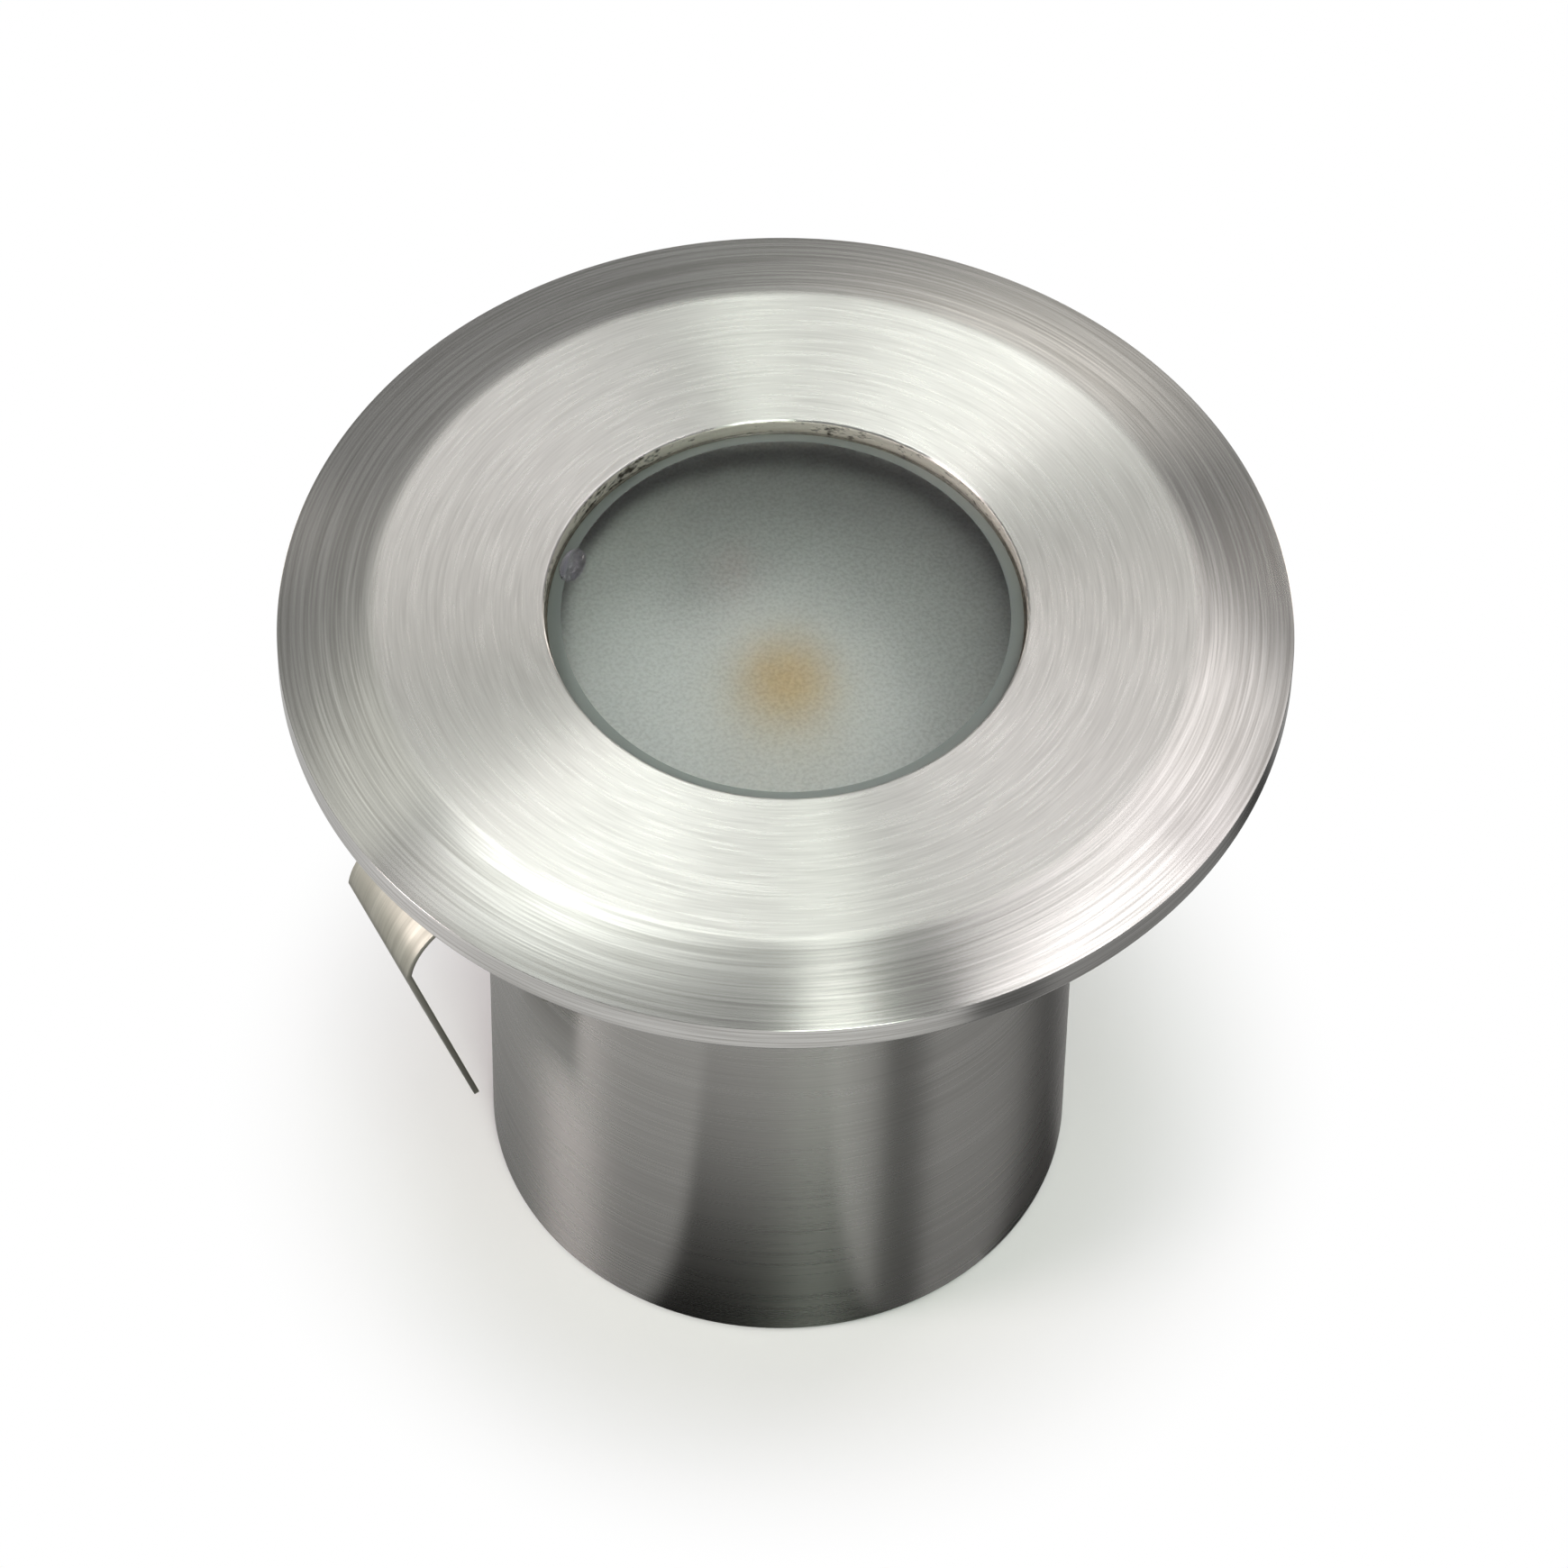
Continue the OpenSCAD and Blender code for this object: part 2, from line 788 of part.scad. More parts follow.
// Blind rivets with a closed end: a low head on the clip, and a bulb inside the barrel
module clip_rivets() {
    head_x = clip_leg_x + clip_t / 2;
    for (z = rivet_zs)
        translate([0, 0, z])
            rotate([0, 90, 0]) {
                translate([0, 0, rivet_bulb_x - rivet_bulb_l])
                    cylinder(r = rivet_bulb_r, h = rivet_bulb_l);
                translate([0, 0, rivet_bulb_x - rivet_bulb_l])
                    cylinder(r = rivet_r, h = head_x - rivet_bulb_x + rivet_bulb_l);
                translate([0, 0, head_x])
                    cylinder(r1 = rivet_head_r, r2 = rivet_head_r / 2, h = rivet_head_h);
            }
}

module clip_anchor_left() {
    color(spring_steel)
        mirror([1, 0, 0])
            clip_anchor();
}

module clip_anchor_right() {
    color(spring_steel)
        clip_anchor();
}

module clip_leaf_left() {
    color(spring_steel)
        mirror([1, 0, 0])
            clip_leaf();
}

module clip_leaf_right() {
    color(spring_steel)
        clip_leaf();
}

module clip_rivets_left() {
    color(aluminium)
        mirror([1, 0, 0])
            clip_rivets();
}

module clip_rivets_right() {
    color(aluminium)
        clip_rivets();
}

bezel();
housing_tube();
base_plate();
lens();
lens_gasket();
lens_adhesive();
neck_o_ring();
led_board();
led_package();
led_phosphor();
thermal_pad();
heat_sink();
heat_sink_screws();
driver_board();
driver_inductor();
driver_capacitors();
driver_chip();
driver_resistors();
bridge_rectifier();
terminal_block();
terminal_screws();
standoffs();
standoff_screws();
lead_positive();
lead_negative();
gland_body();
gland_washer();
gland_locknut();
gland_seal();
gland_nut();
clip_anchor_left();
clip_anchor_right();
clip_leaf_left();
clip_leaf_right();
clip_rivets_left();
clip_rivets_right();
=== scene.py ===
"""Looks of a recessed deck light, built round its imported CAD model.

The bezel and the barrel are brushed stainless steel, the window is frosted glass
bedded in clear silicone, and two riveted spring steel clips hold the light in
the deck. Lengths are in millimetres until they reach Blender, which takes metres.
"""

import logging
import math
from collections.abc import Callable, Iterator, Sequence
from contextlib import contextmanager
from dataclasses import dataclass, field
from enum import Enum
from itertools import pairwise

import bmesh
import bpy
from mathutils import Matrix, Vector


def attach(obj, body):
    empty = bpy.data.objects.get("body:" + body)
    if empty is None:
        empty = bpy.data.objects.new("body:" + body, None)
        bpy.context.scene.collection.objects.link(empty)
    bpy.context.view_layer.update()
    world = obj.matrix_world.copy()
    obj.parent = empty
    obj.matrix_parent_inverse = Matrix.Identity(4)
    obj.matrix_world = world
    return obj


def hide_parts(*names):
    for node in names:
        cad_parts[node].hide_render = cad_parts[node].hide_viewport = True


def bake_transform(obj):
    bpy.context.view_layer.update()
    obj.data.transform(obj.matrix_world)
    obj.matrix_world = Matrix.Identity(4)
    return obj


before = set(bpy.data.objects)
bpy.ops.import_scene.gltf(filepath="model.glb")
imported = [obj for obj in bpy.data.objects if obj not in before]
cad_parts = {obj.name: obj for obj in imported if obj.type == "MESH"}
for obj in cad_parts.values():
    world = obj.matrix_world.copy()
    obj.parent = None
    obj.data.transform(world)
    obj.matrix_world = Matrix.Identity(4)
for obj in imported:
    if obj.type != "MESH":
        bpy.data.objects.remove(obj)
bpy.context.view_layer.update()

log = logging.getLogger("deck_light")

MM = 0.001
# The photograph looks at the light from this side; the clips lie on the X axis
PHOTO_AZIMUTH = -30.75

Point = tuple[float, float]
Colour = tuple[float, float, float, float]
Piece = bpy.types.Object
Material = bpy.types.Material
Socket = bpy.types.NodeSocket
# A socket to link, or a constant
Value = Socket | float | tuple[float, ...] | Vector
# Takes the places of an element's vertices
Test = Callable[[list[Vector]], bool]
# Takes a face's centre in millimetres and its normal, and gives the number of its material
Chooser = Callable[[Vector, Vector], int]


class Body(Enum):
    """The CAD bodies that pieces ride on."""

    HOUSING = "housing"
    CLIP_LEFT = "clip_left"
    CLIP_RIGHT = "clip_right"


class Side(Enum):
    """The two sides that carry a clip, by the sign of X."""

    LEFT = -1
    RIGHT = 1

    @property
    def word(self) -> str:
        """The side's name, as the CAD nodes end."""
        return self.name.lower()

    @property
    def body(self) -> Body:
        """The CAD body named for the side's clip."""
        return Body.CLIP_LEFT if self is Side.LEFT else Body.CLIP_RIGHT


class Element(Enum):
    """What an edit mode selection picks."""

    VERTEX = "VERT"
    EDGE = "EDGE"


# ---------------------------------------------------------------- modelling


def deselect_all() -> None:
    """Leaves no object selected, so that an operator acts only on the next one."""
    bpy.ops.object.select_all(action="DESELECT")


def focus(piece: Piece) -> None:
    """Leaves one object selected and active.

    Args:
        piece: The object.
    """
    deselect_all()
    piece.select_set(True)
    bpy.context.view_layer.objects.active = piece


@contextmanager
def editing(piece: Piece) -> Iterator[None]:
    """Keeps one object in edit mode for a block.

    Args:
        piece: The mesh object to edit.

    Returns:
        The block's context.
    """
    focus(piece)
    bpy.ops.object.mode_set(mode="EDIT")
    try:
        yield
    finally:
        bpy.ops.object.mode_set(mode="OBJECT")


def pick(piece: Piece, element: Element, test: Test) -> int:
    """Selects what passes a test in edit mode, and deselects the rest.

    Args:
        piece: The mesh object in edit mode.
        element: Vertices or edges.
        test: What an element has to pass.

    Returns:
        How many elements are selected.
    """
    bpy.ops.mesh.select_mode(type=element.value)
    bpy.ops.mesh.select_all(action="DESELECT")
    mesh = bmesh.from_edit_mesh(piece.data)
    if element is Element.VERTEX:
        chosen = [v for v in mesh.verts if test([v.co])]
    else:
        chosen = [e for e in mesh.edges if test([v.co for v in e.verts])]
    for item in chosen:
        item.select_set(True)
    bmesh.update_edit_mesh(piece.data)
    return len(chosen)


def on_ring(radius: float, height: float) -> Test:
    """A test for what lies on one ring round the Z axis.

    Args:
        radius: The ring's radius.
        height: The ring's height.

    Returns:
        A test for pick().
    """
    slack = 0.004

    def test(places: list[Vector]) -> bool:
        """True if every vertex lies on the ring."""
        return all(
            abs(math.hypot(p.x, p.y) / MM - radius) < slack and abs(p.z / MM - height) < slack
            for p in places
        )

    return test


def close_seams() -> None:
    """Merges doubled vertices and turns the faces outwards, in edit mode."""
    bpy.ops.mesh.select_all(action="SELECT")
    bpy.ops.mesh.remove_doubles(threshold=0.001 * MM)
    bpy.ops.mesh.normals_make_consistent(inside=False)


def apply_place(piece: Piece) -> None:
    """Puts the object's place, turn and scale into its mesh.

    Args:
        piece: The object, which ends at the origin.
    """
    focus(piece)
    bpy.ops.object.transform_apply(location=True, rotation=True, scale=True)


def apply_modifiers(piece: Piece) -> None:
    """Applies the piece's modifiers in order.

    Args:
        piece: The mesh object.
    """
    focus(piece)
    for modifier in list(piece.modifiers):
        bpy.ops.object.modifier_apply(modifier=modifier.name)


def smooth(piece: Piece, angle: float = 30.0) -> None:
    """Shades the piece smooth, except across edges sharper than an angle.

    Args:
        piece: The mesh object.
        angle: The largest smooth angle, in degrees.
    """
    focus(piece)
    bpy.ops.object.shade_smooth_by_angle(angle=math.radians(angle))


def join(pieces: list[Piece], name: str) -> Piece:
    """Joins meshes into one object.

    Args:
        pieces: The objects, of which the first stays.
        name: The name of the result.

    Returns:
        The joined object.
    """
    deselect_all()
    for piece in pieces:
        piece.select_set(True)
    bpy.context.view_layer.objects.active = pieces[0]
    if len(pieces) > 1:
        bpy.ops.object.join()
    pieces[0].name = name
    return pieces[0]


def dress(piece: Piece, materials: Sequence[Material], chooser: Chooser | None = None) -> None:
    """Gives a piece its materials.

    Args:
        piece: The mesh object.
        materials: The materials, in the order of the chooser's numbers.
        chooser: Gives the number of a face's material; without it all take the first.
    """
    piece.data.materials.clear()
    for material in materials:
        piece.data.materials.append(material)
    for face in piece.data.polygons:
        face.material_index = chooser(face.center / MM, face.normal) if chooser else 0


def toward(start: Point, end: Point, distance: float) -> Point:
    """The point at a distance from one point on the way to another."""
    share = distance / math.dist(start, end)
    return tuple(a + (b - a) * share for a, b in zip(start, end))


# A ring stands this many setbacks beside a rounded corner, which keeps flat faces flat
HOLD = 1.25


@dataclass
class Turned:
    """A body turned round the Z axis, drawn ring by ring from its outline."""

    name: str
    outline: list[Point]
    # How far a corner is rounded, and in how many steps, by the corner's number
    rounds: dict[int, tuple[float, int]] = field(default_factory=dict)
    # Filled up to the axis
    solid: bool = False
    steps: int = 192

    def build(self, *materials: Material, chooser: Chooser | None = None) -> Piece:
        """Draws the rings, closes the body, rounds its corners and dresses it.

        Args:
            materials: What to dress it with, or nothing if that follows later.
            chooser: Gives the number of a face's material.

        Returns:
            The mesh object, at the origin.
        """
        rings = self.held_outline()
        radius, height = rings[0]
        deselect_all()
        bpy.ops.mesh.primitive_circle_add(
            vertices=self.steps,
            radius=radius * MM,
            fill_type="TRIFAN" if self.solid else "NOTHING",
            location=(0, 0, height * MM),
        )
        body = bpy.context.object
        body.name = body.data.name = self.name
        apply_place(body)
        with editing(body):
            pick(body, Element.EDGE, on_ring(radius, height))
            for here, there in pairwise(rings):
                self.extrude(here, there)
            close_seams()
            for corner, (setback, steps) in self.rounds.items():
                if pick(body, Element.EDGE, on_ring(*self.outline[corner])):
                    bpy.ops.mesh.bevel(
                        offset_type="OFFSET",
                        offset=setback * MM,
                        segments=steps,
                        profile=0.5,
                        affect="EDGES",
                        clamp_overlap=False,
                    )
        smooth(body)
        if materials:
            dress(body, materials, chooser)
        return body

    def held_outline(self) -> list[Point]:
        """The outline with a ring beside each rounded corner.

        Returns:
            Every ring to draw, and the first one again where the body is a tube.
        """
        count = len(self.outline)
        rings = []
        for number, corner in enumerate(self.outline):
            setback = self.rounds.get(number, (0.0, 0))[0] * HOLD
            if not setback:
                rings.append(corner)
                continue
            before = self.outline[number - 1] if number or not self.solid else None
            after = self.outline[(number + 1) % count]
            rings += [toward(corner, before, setback)] if before and number else []
            rings += [corner, toward(corner, after, setback)]
        if not self.solid:
            if 0 in self.rounds:
                rings.append(toward(self.outline[0], self.outline[-1], self.rounds[0][0] * HOLD))
            rings.append(rings[0])
        return rings

    @staticmethod
    def extrude(here: Point, there: Point) -> None:
        """Extrudes the selected ring to the next one, or closes it on the axis.

        Args:
            here: Radius and height of the selected ring.
            there: Radius and height of the next one.
        """
        rise = (there[1] - here[1]) * MM
        bpy.ops.mesh.extrude_region_move(TRANSFORM_OT_translate={"value": (0, 0, rise)})
        if there[0] == 0:
            bpy.ops.mesh.merge(type="CENTER")
            return
        ratio = there[0] / here[0]
        if ratio != 1:
            bpy.ops.transform.resize(
                value=(ratio, ratio, 1), center_override=(0, 0, there[1] * MM)
            )


# ---------------------------------------------------------------- finishes

# Nearly all of a noise lies between these two
NOISE_RANGE = (0.3, 0.7)
# The same for a single noise that should show its extremes
STREAK_RANGE = (0.36, 0.64)
SPECKLE_RANGE = (0.35, 0.65)
# The same with clouds added
CLOUDY_RANGE = (0.45, 0.85)
# Only the lowest part of the noise, for a few dark marks
MARK_RANGE = (0.36, 0.46)
# How far a roughness strays either way
WEAR = 0.15
# A stock material's soft clouds: their scale beside the grain's, and their share
CLOUD_SCALE = 0.12
CLOUD_SHARE = 0.4
# A turn of one radian is about as long as the barrel's radius
RADIAN = 18.0
# How far the noise of one size of line lies from the next one's
SHIFT = 7.3


def linear(code: str) -> Colour:
    """Turns an sRGB hex colour into the linear one that shaders take.

    Args:
        code: Six hex digits after a hash.

    Returns:
        Red, green, blue and an alpha of one.
    """
    parts = [int(code[i : i + 2], 16) / 255 for i in (1, 3, 5)]
    red, green, blue = (p / 12.92 if p <= 0.04045 else ((p + 0.055) / 1.055) ** 2.4 for p in parts)
    return red, green, blue, 1.0


class Nodes:
    """A node tree that is filled node by node; most methods return the result's socket."""

    def __init__(self, tree: bpy.types.NodeTree) -> None:
        """Takes over a tree and empties it."""
        self.tree = tree
        tree.nodes.clear()

    def add(self, kind: str, inputs: dict | None = None, **settings) -> bpy.types.Node:
        """Adds a node with its settings and links.

        Args:
            kind: The node's class, after ShaderNode.
            inputs: A value, or another node's output, for each named or numbered input.
            settings: The node's own properties.

        Returns:
            The node.
        """
        node = self.tree.nodes.new("ShaderNode" + kind)
        for name, value in settings.items():
            setattr(node, name, value)
        for name, value in (inputs or {}).items():
            if isinstance(value, Socket):
                self.tree.links.new(value, node.inputs[name])
            else:
                node.inputs[name].default_value = value
        return node

    def math(self, operation: str, *values: Value, **settings: bool) -> Socket:
        """Adds a Math node."""
        inputs = dict(enumerate(values))
        return self.add("Math", inputs, operation=operation, **settings).outputs[0]

    def vector(self, operation: str, *values: Value, scale: Value = 1.0) -> Socket:
        """Adds a Vector Math node.

        Args:
            operation: What it does.
            values: The vectors that it takes.
            scale: The factor, for SCALE.

        Returns:
            The vector, or the number where the operation gives one.
        """
        inputs = dict(enumerate(values))
        if operation == "SCALE":
            inputs["Scale"] = scale
        result = "Value" if operation in ("LENGTH", "DOT_PRODUCT") else "Vector"
        return self.add("VectorMath", inputs, operation=operation).outputs[result]

    def ramp(
        self,
        value: Socket,
        low: float,
        high: float,
        start: float = 0.0,
        end: float = 1.0,
        soft: bool = False,
    ) -> Socket:
        """Maps a number from one range to another, held at both ends.

        Args:
            value: The number.
            low: Where the range starts.
            high: Where it ends.
            start: The result at low.
            end: The result at high.
            soft: Whether the change eases in and out.

        Returns:
            The result.
        """
        inputs = dict(enumerate((value, low, high, start, end)))
        kind = "SMOOTHSTEP" if soft else "LINEAR"
        return self.add("MapRange", inputs, interpolation_type=kind).outputs[0]

    def mix(self, share: Value, first: Value, second: Value) -> Socket:
        """Mixes two colours."""
        return self.add("Mix", {0: share, 6: first, 7: second}, data_type="RGBA").outputs[2]

    def mix_shaders(
        self, share: Socket, first: bpy.types.Node, second: bpy.types.Node
    ) -> bpy.types.Node:
        """Mixes the shaders of two nodes, and gives the node that does."""
        return self.add("MixShader", {0: share, 1: first.outputs[0], 2: second.outputs[0]})

    def noise(self, place: Socket, scale: float, detail: float = 2.0, **more: float) -> Socket:
        """Adds noise of a scale, from 0 to 1."""
        inputs = {"Vector": place, "Scale": scale, "Detail": detail, **more}
        return self.add("TexNoise", inputs).outputs[0]

    def bump(self, height: Socket, depth: float) -> Socket:
        """Turns a height into a bump of a depth in millimetres."""
        inputs = {"Height": height, "Distance": depth * MM, "Strength": 1.0}
        return self.add("Bump", inputs).outputs[0]

    def place(self) -> Socket:
        """The place in the part's frame."""
        return self.add("TexCoord").outputs["Object"]

    def close(self, shader: bpy.types.Node) -> None:
        """Links a shader to the material's output."""
        self.add("OutputMaterial", {"Surface": shader.outputs[0]})


def new_material(name: str) -> tuple[Material, Nodes]:
    """Starts a material with an empty node tree.

    Args:
        name: The material's name.

    Returns:
        The material and its nodes.
    """
    material = bpy.data.materials.new(name)
    material.use_nodes = True
    return material, Nodes(material.node_tree)


@dataclass(frozen=True)
class Lines:
    """One size of brushed line: how far apart the lines lie and how long they run."""

    spacing: float
    length: float
    share: float
    detail: float = 2.0


class Grain(Enum):
    """Which way the brushing runs on a piece."""

    ROUND = "round the axis"
    STRIP = "along the clip's strip"


@dataclass(frozen=True)
class BrushedSteel:
    """Stainless steel, type 304, brushed with an abrasive belt while it turns."""

    name: str
    pale: str
    dark: str
    roughness: float
    swing: float
    depth: float
    lines: tuple[Lines, ...]
    grain: Grain = Grain.ROUND
    anisotropy: float = 0.95
    # Between these radii the same belt starts to bite deeper, on a smoother ground
    edge_radii: Point = (0.0, 0.0)
    edge_gain: float = 1.0
    edge_roughness: float = 0.0
    # The bites of single coarse grits show there as long dark and pale streaks
    streaks: Lines = Lines(0.2, 9.0, 0.45, 3.0)
    streak_pale: str = "#EEEDE9"
    streak_dark: str = "#A5A39D"

    def layout(self, nodes: Nodes) -> tuple[Socket, Socket, Socket, Socket]:
        """Lays out the brushing on a piece.

        Args:
            nodes: The material's nodes.

        Returns:
            The way along the lines as a vector, the distance across them, the
            direction of the lines on the surface, and the radius.
        """
        place = nodes.place()
        x, y, z = nodes.add("SeparateXYZ", {0: place}).outputs
        level = nodes.vector("MULTIPLY", place, (1, 1, 0))
        radius = nodes.vector("LENGTH", level)
        if self.grain is Grain.STRIP:
            along = nodes.vector("MULTIPLY", place, (1, 0, 1))
            return along, y, nodes.add("CombineXYZ", {"Y": 1.0}).outputs[0], radius
        along = nodes.vector("SCALE", nodes.vector("NORMALIZE", level), scale=RADIAN * MM)
        way = nodes.add("CombineXYZ", {"X": nodes.math("MULTIPLY", y, -1.0), "Y": x})
        return along, nodes.math("SUBTRACT", radius, z), way.outputs[0], radius

    def strokes(
        self, nodes: Nodes, along: Socket, across: Socket, lines: Lines, number: int
    ) -> Socket:
        """Draws one size of brushed line as noise stretched along the brushing.

        Args:
            nodes: The material's nodes.
            along: The way along the lines.
            across: The distance across them.
            lines: How far apart and how long the lines are.
            number: Counts the sizes, so that no two share their pattern.

        Returns:
            The noise, from 0 to 1.
        """
        run = nodes.vector("SCALE", along, scale=1 / (lines.length * MM))
        step = nodes.math("MULTIPLY_ADD", across, 1 / (lines.spacing * MM), SHIFT * number)
        axis = "Y" if self.grain is Grain.STRIP else "Z"
        place = nodes.vector("ADD", run, nodes.add("CombineXYZ", {axis: step}).outputs[0])
        return nodes.noise(place, 1.0, lines.detail)

    def build(self) -> Material:
        """Makes the material.

        Returns:
            The material.
        """
        material, nodes = new_material(self.name)
        along, across, way, radius = self.layout(nodes)
        total = 0.0
        for number, lines in enumerate(self.lines):
            noise = self.strokes(nodes, along, across, lines, number)
            total = nodes.math("MULTIPLY_ADD", noise, lines.share, total)
        roughness = self.roughness
        has_edge = self.edge_gain != 1
        if has_edge:
            start, end = (edge * MM for edge in self.edge_radii)
            gain, roughness, streaks = (
                nodes.ramp(radius, start, end, flat, bevel, soft=True)
                for flat, bevel in (
                    (1.0, self.edge_gain),
                    (self.roughness, self.edge_roughness),
                    (0.0, self.streaks.share),
                )
            )
            middle = 0.5
            swung = nodes.math("SUBTRACT", total, middle)
            total = nodes.math("MULTIPLY_ADD", swung, gain, middle)
        colour = nodes.mix(nodes.ramp(total, *NOISE_RANGE), linear(self.dark), linear(self.pale))
        if has_edge:
            noise = self.strokes(nodes, along, across, self.streaks, len(self.lines))
            tone = nodes.ramp(noise, *STREAK_RANGE)
            streaked = nodes.mix(tone, linear(self.streak_dark), linear(self.streak_pale))
            colour = nodes.mix(streaks, colour, streaked)
        spread = nodes.ramp(total, *NOISE_RANGE, 1 + self.swing, 1 - self.swing)
        values = {
            "Base Color": colour,
            "Metallic": 1.0,
            "Roughness": nodes.math("MULTIPLY", spread, roughness),
            "Normal": nodes.bump(total, self.depth),
            "Anisotropic": self.anisotropy,
            # The light spreads across the lines, a quarter turn from them
            "Anisotropic Rotation": 0.0 if self.grain is Grain.STRIP else 0.25,
            "Tangent": way,
        }
        nodes.close(nodes.add("BsdfPrincipled", values))
        return material


@dataclass(frozen=True)
class FrostedGlass:
    """Soda-lime float glass, clear or etched matt, with the green of its iron."""

    name: str
    roughness: float
    grain: float
    depth: float
    tint: str = "#FCFFFE"
    # The grain's share of the colour, and how much light passes through the skin
    speckle: float = 0.0
    clear: float = 1.0
    # The size of the soft clouds in the etching, and their share of the roughness
    cloud: Point = (4.0, 0.3)
    ior: float = 1.52

    def build(self) -> Material:
        """Makes the material.

        Returns:
            The material.
        """
        material, nodes = new_material(self.name)
        place = nodes.place()
        noise = nodes.noise(place, 1 / (self.grain * MM))
        cloud = nodes.noise(place, 1 / (self.cloud[0] * MM))
        mixed = nodes.math("MULTIPLY_ADD", cloud, self.cloud[1], noise)
        pale = linear(self.tint)
        dark = (*(part * (1 - self.speckle) for part in pale[:3]), 1.0)
        low, high = (self.roughness * (1 + wear) for wear in (-WEAR, WEAR))
        values = {
            "Base Color": nodes.mix(nodes.ramp(noise, *SPECKLE_RANGE), dark, pale),
            "Roughness": nodes.ramp(mixed, *CLOUDY_RANGE, low, high),
            "IOR": self.ior,
            "Transmission Weight": self.clear,
            "Normal": nodes.bump(noise, self.depth),
        }
        nodes.close(nodes.add("BsdfPrincipled", values))
        return material


@dataclass(frozen=True)
class Grained:
    """A plain stock material with the fine grain that its making leaves."""

    name: str
    pale: str
    dark: str
    roughness: float
    grain: float
    depth: float
    metallic: float = 0.0
    stretch: tuple[float, float, float] = (1.0, 1.0, 1.0)
    ior: float = 1.5
    transmission: float = 0.0
    # Torn here and there, which leaves dark nicks on a pale ground
    marks: bool = False
    # A second colour outside this circle, which paints light and shade where it is used (its
    # centre, and the radii where the change starts and ends)
    surround: str = ""
    centre: Point = (0.0, 0.0)
    reach: Point = (0.0, 0.0)

    def build(self) -> Material:
        """Makes the material.

        Returns:
            The material.
        """
        material, nodes = new_material(self.name)
        place = nodes.place()
        stretched = nodes.add("Mapping", {"Vector": place, "Scale": self.stretch}).outputs[0]
        noise = nodes.noise(stretched, 1 / (self.grain * MM), detail=3.0, Roughness=0.6)
        cloud = nodes.noise(place, CLOUD_SCALE / (self.grain * MM))
        inputs = {0: CLOUD_SHARE, 2: noise, 3: cloud}
        mixed = nodes.add("Mix", inputs, data_type="FLOAT").outputs[0]
        shade = nodes.ramp(mixed, *(MARK_RANGE if self.marks else NOISE_RANGE))
        colour = nodes.mix(shade, linear(self.dark), linear(self.pale))
        # Painted light and shade: the surround colour outside a circle
        if self.surround:
            x, y = self.centre
            offset = nodes.vector("ADD", place, (-x * MM, -y * MM, 0))
            radius = nodes.vector("LENGTH", nodes.vector("MULTIPLY", offset, (1, 1, 0)))
            near, far = self.reach
            outside = nodes.ramp(radius, near * MM, far * MM, soft=True)
            colour = nodes.mix(outside, colour, linear(self.surround))
        high, low = (self.roughness * (1 + wear) for wear in (WEAR, -WEAR))
        values = {
            "Base Color": colour,
            "Metallic": self.metallic,
            "Roughness": nodes.ramp(mixed, *NOISE_RANGE, high, low),
            "Normal": nodes.bump(noise, self.depth),
            "Transmission Weight": self.transmission,
        }
        if not self.metallic:
            values["IOR"] = self.ior
        nodes.close(nodes.add("BsdfPrincipled", values))
        return material


# Brushed stainless, the bezel's face: fine rings, coarser and deeper on the bevel.
# Real scratches are some 0.03 mm apart, and are drawn wider so that they show
FACE_STEEL = BrushedSteel(
    name="brushed_stainless_face",
    pale="#E9E7E3",
    dark="#CDCBC7",
    roughness=0.28,
    swing=0.08,
    depth=0.002,
    lines=(Lines(0.12, 3.0, 0.5), Lines(0.24, 5.5, 0.42), Lines(1.6, 30.0, 0.05)),
    edge_radii=(23.9, 25.4),
    edge_gain=1.8,
    edge_roughness=0.2,
)
# Brushed stainless, the barrel: the same belt on a tube, with finer and longer lines
BARREL_STEEL = BrushedSteel(
    name="brushed_stainless_barrel",
    pale="#D2D0CB",
    dark="#BBB9B4",
    roughness=0.28,
    swing=0.1,
    depth=0.0008,
    lines=(Lines(0.14, 14.0, 0.45), Lines(0.45, 30.0, 0.35), Lines(2.2, 60.0, 0.2)),
)
# Stainless as turned and left unbrushed, dull and stained by the heat of the cut
BORE_STEEL = Grained(
    name="turned_stainless_bore",
    pale="#F1EBE2",
    dark="#5A534B",
    roughness=0.6,
    grain=0.6,
    depth=0.06,
    metallic=1.0,
    stretch=(1.0, 1.0, 2.0),
    marks=True,
)
# The neck's inside and the hidden faces: turned stainless, darker than the outside, with painted
# light: paler outside a circle set off to one side
NECK_STEEL = Grained(
    name="dark_stainless_neck_painted_light",
    pale="#A6A8A4",
    dark="#878986",
    roughness=0.5,
    grain=0.3,
    depth=0.004,
    metallic=1.0,
    surround="#F2F3F0",
    centre=(12.6, 3.4),
    reach=(10.5, 20.5),
)
# Spring steel strip, type 301, cold rolled bright: long soft reflections and a warm cast
CLIP_STEEL = BrushedSteel(
    name="rolled_spring_steel",
    pale="#BFBDB0",
    dark="#A09E92",
    roughness=0.46,
    swing=0.15,
    depth=0.0006,
    lines=(Lines(0.12, 6.0, 0.5, 3.0), Lines(0.8, 20.0, 0.5)),
    grain=Grain.STRIP,
    anisotropy=0.6,
)
# Float glass etched matt on its top, with the grain of the acid: it scatters what lies below
ETCHED_GLASS = FrostedGlass(
    name="etched_glass_top", roughness=0.6, grain=0.24, depth=0.035, speckle=0.3
)
# The glass's underside and edge, clear as the float process leaves them
CLEAR_GLASS = FrostedGlass(name="clear_glass_underside", roughness=0.04, grain=1.0, depth=0.0)
# The ground chamfer: its skin scatters light back, so it shows as a grey ring
GROUND_GLASS = FrostedGlass(
    name="ground_glass_chamfer", roughness=0.35, grain=0.1, depth=0.006, tint="#7E8582", clear=0.35
)

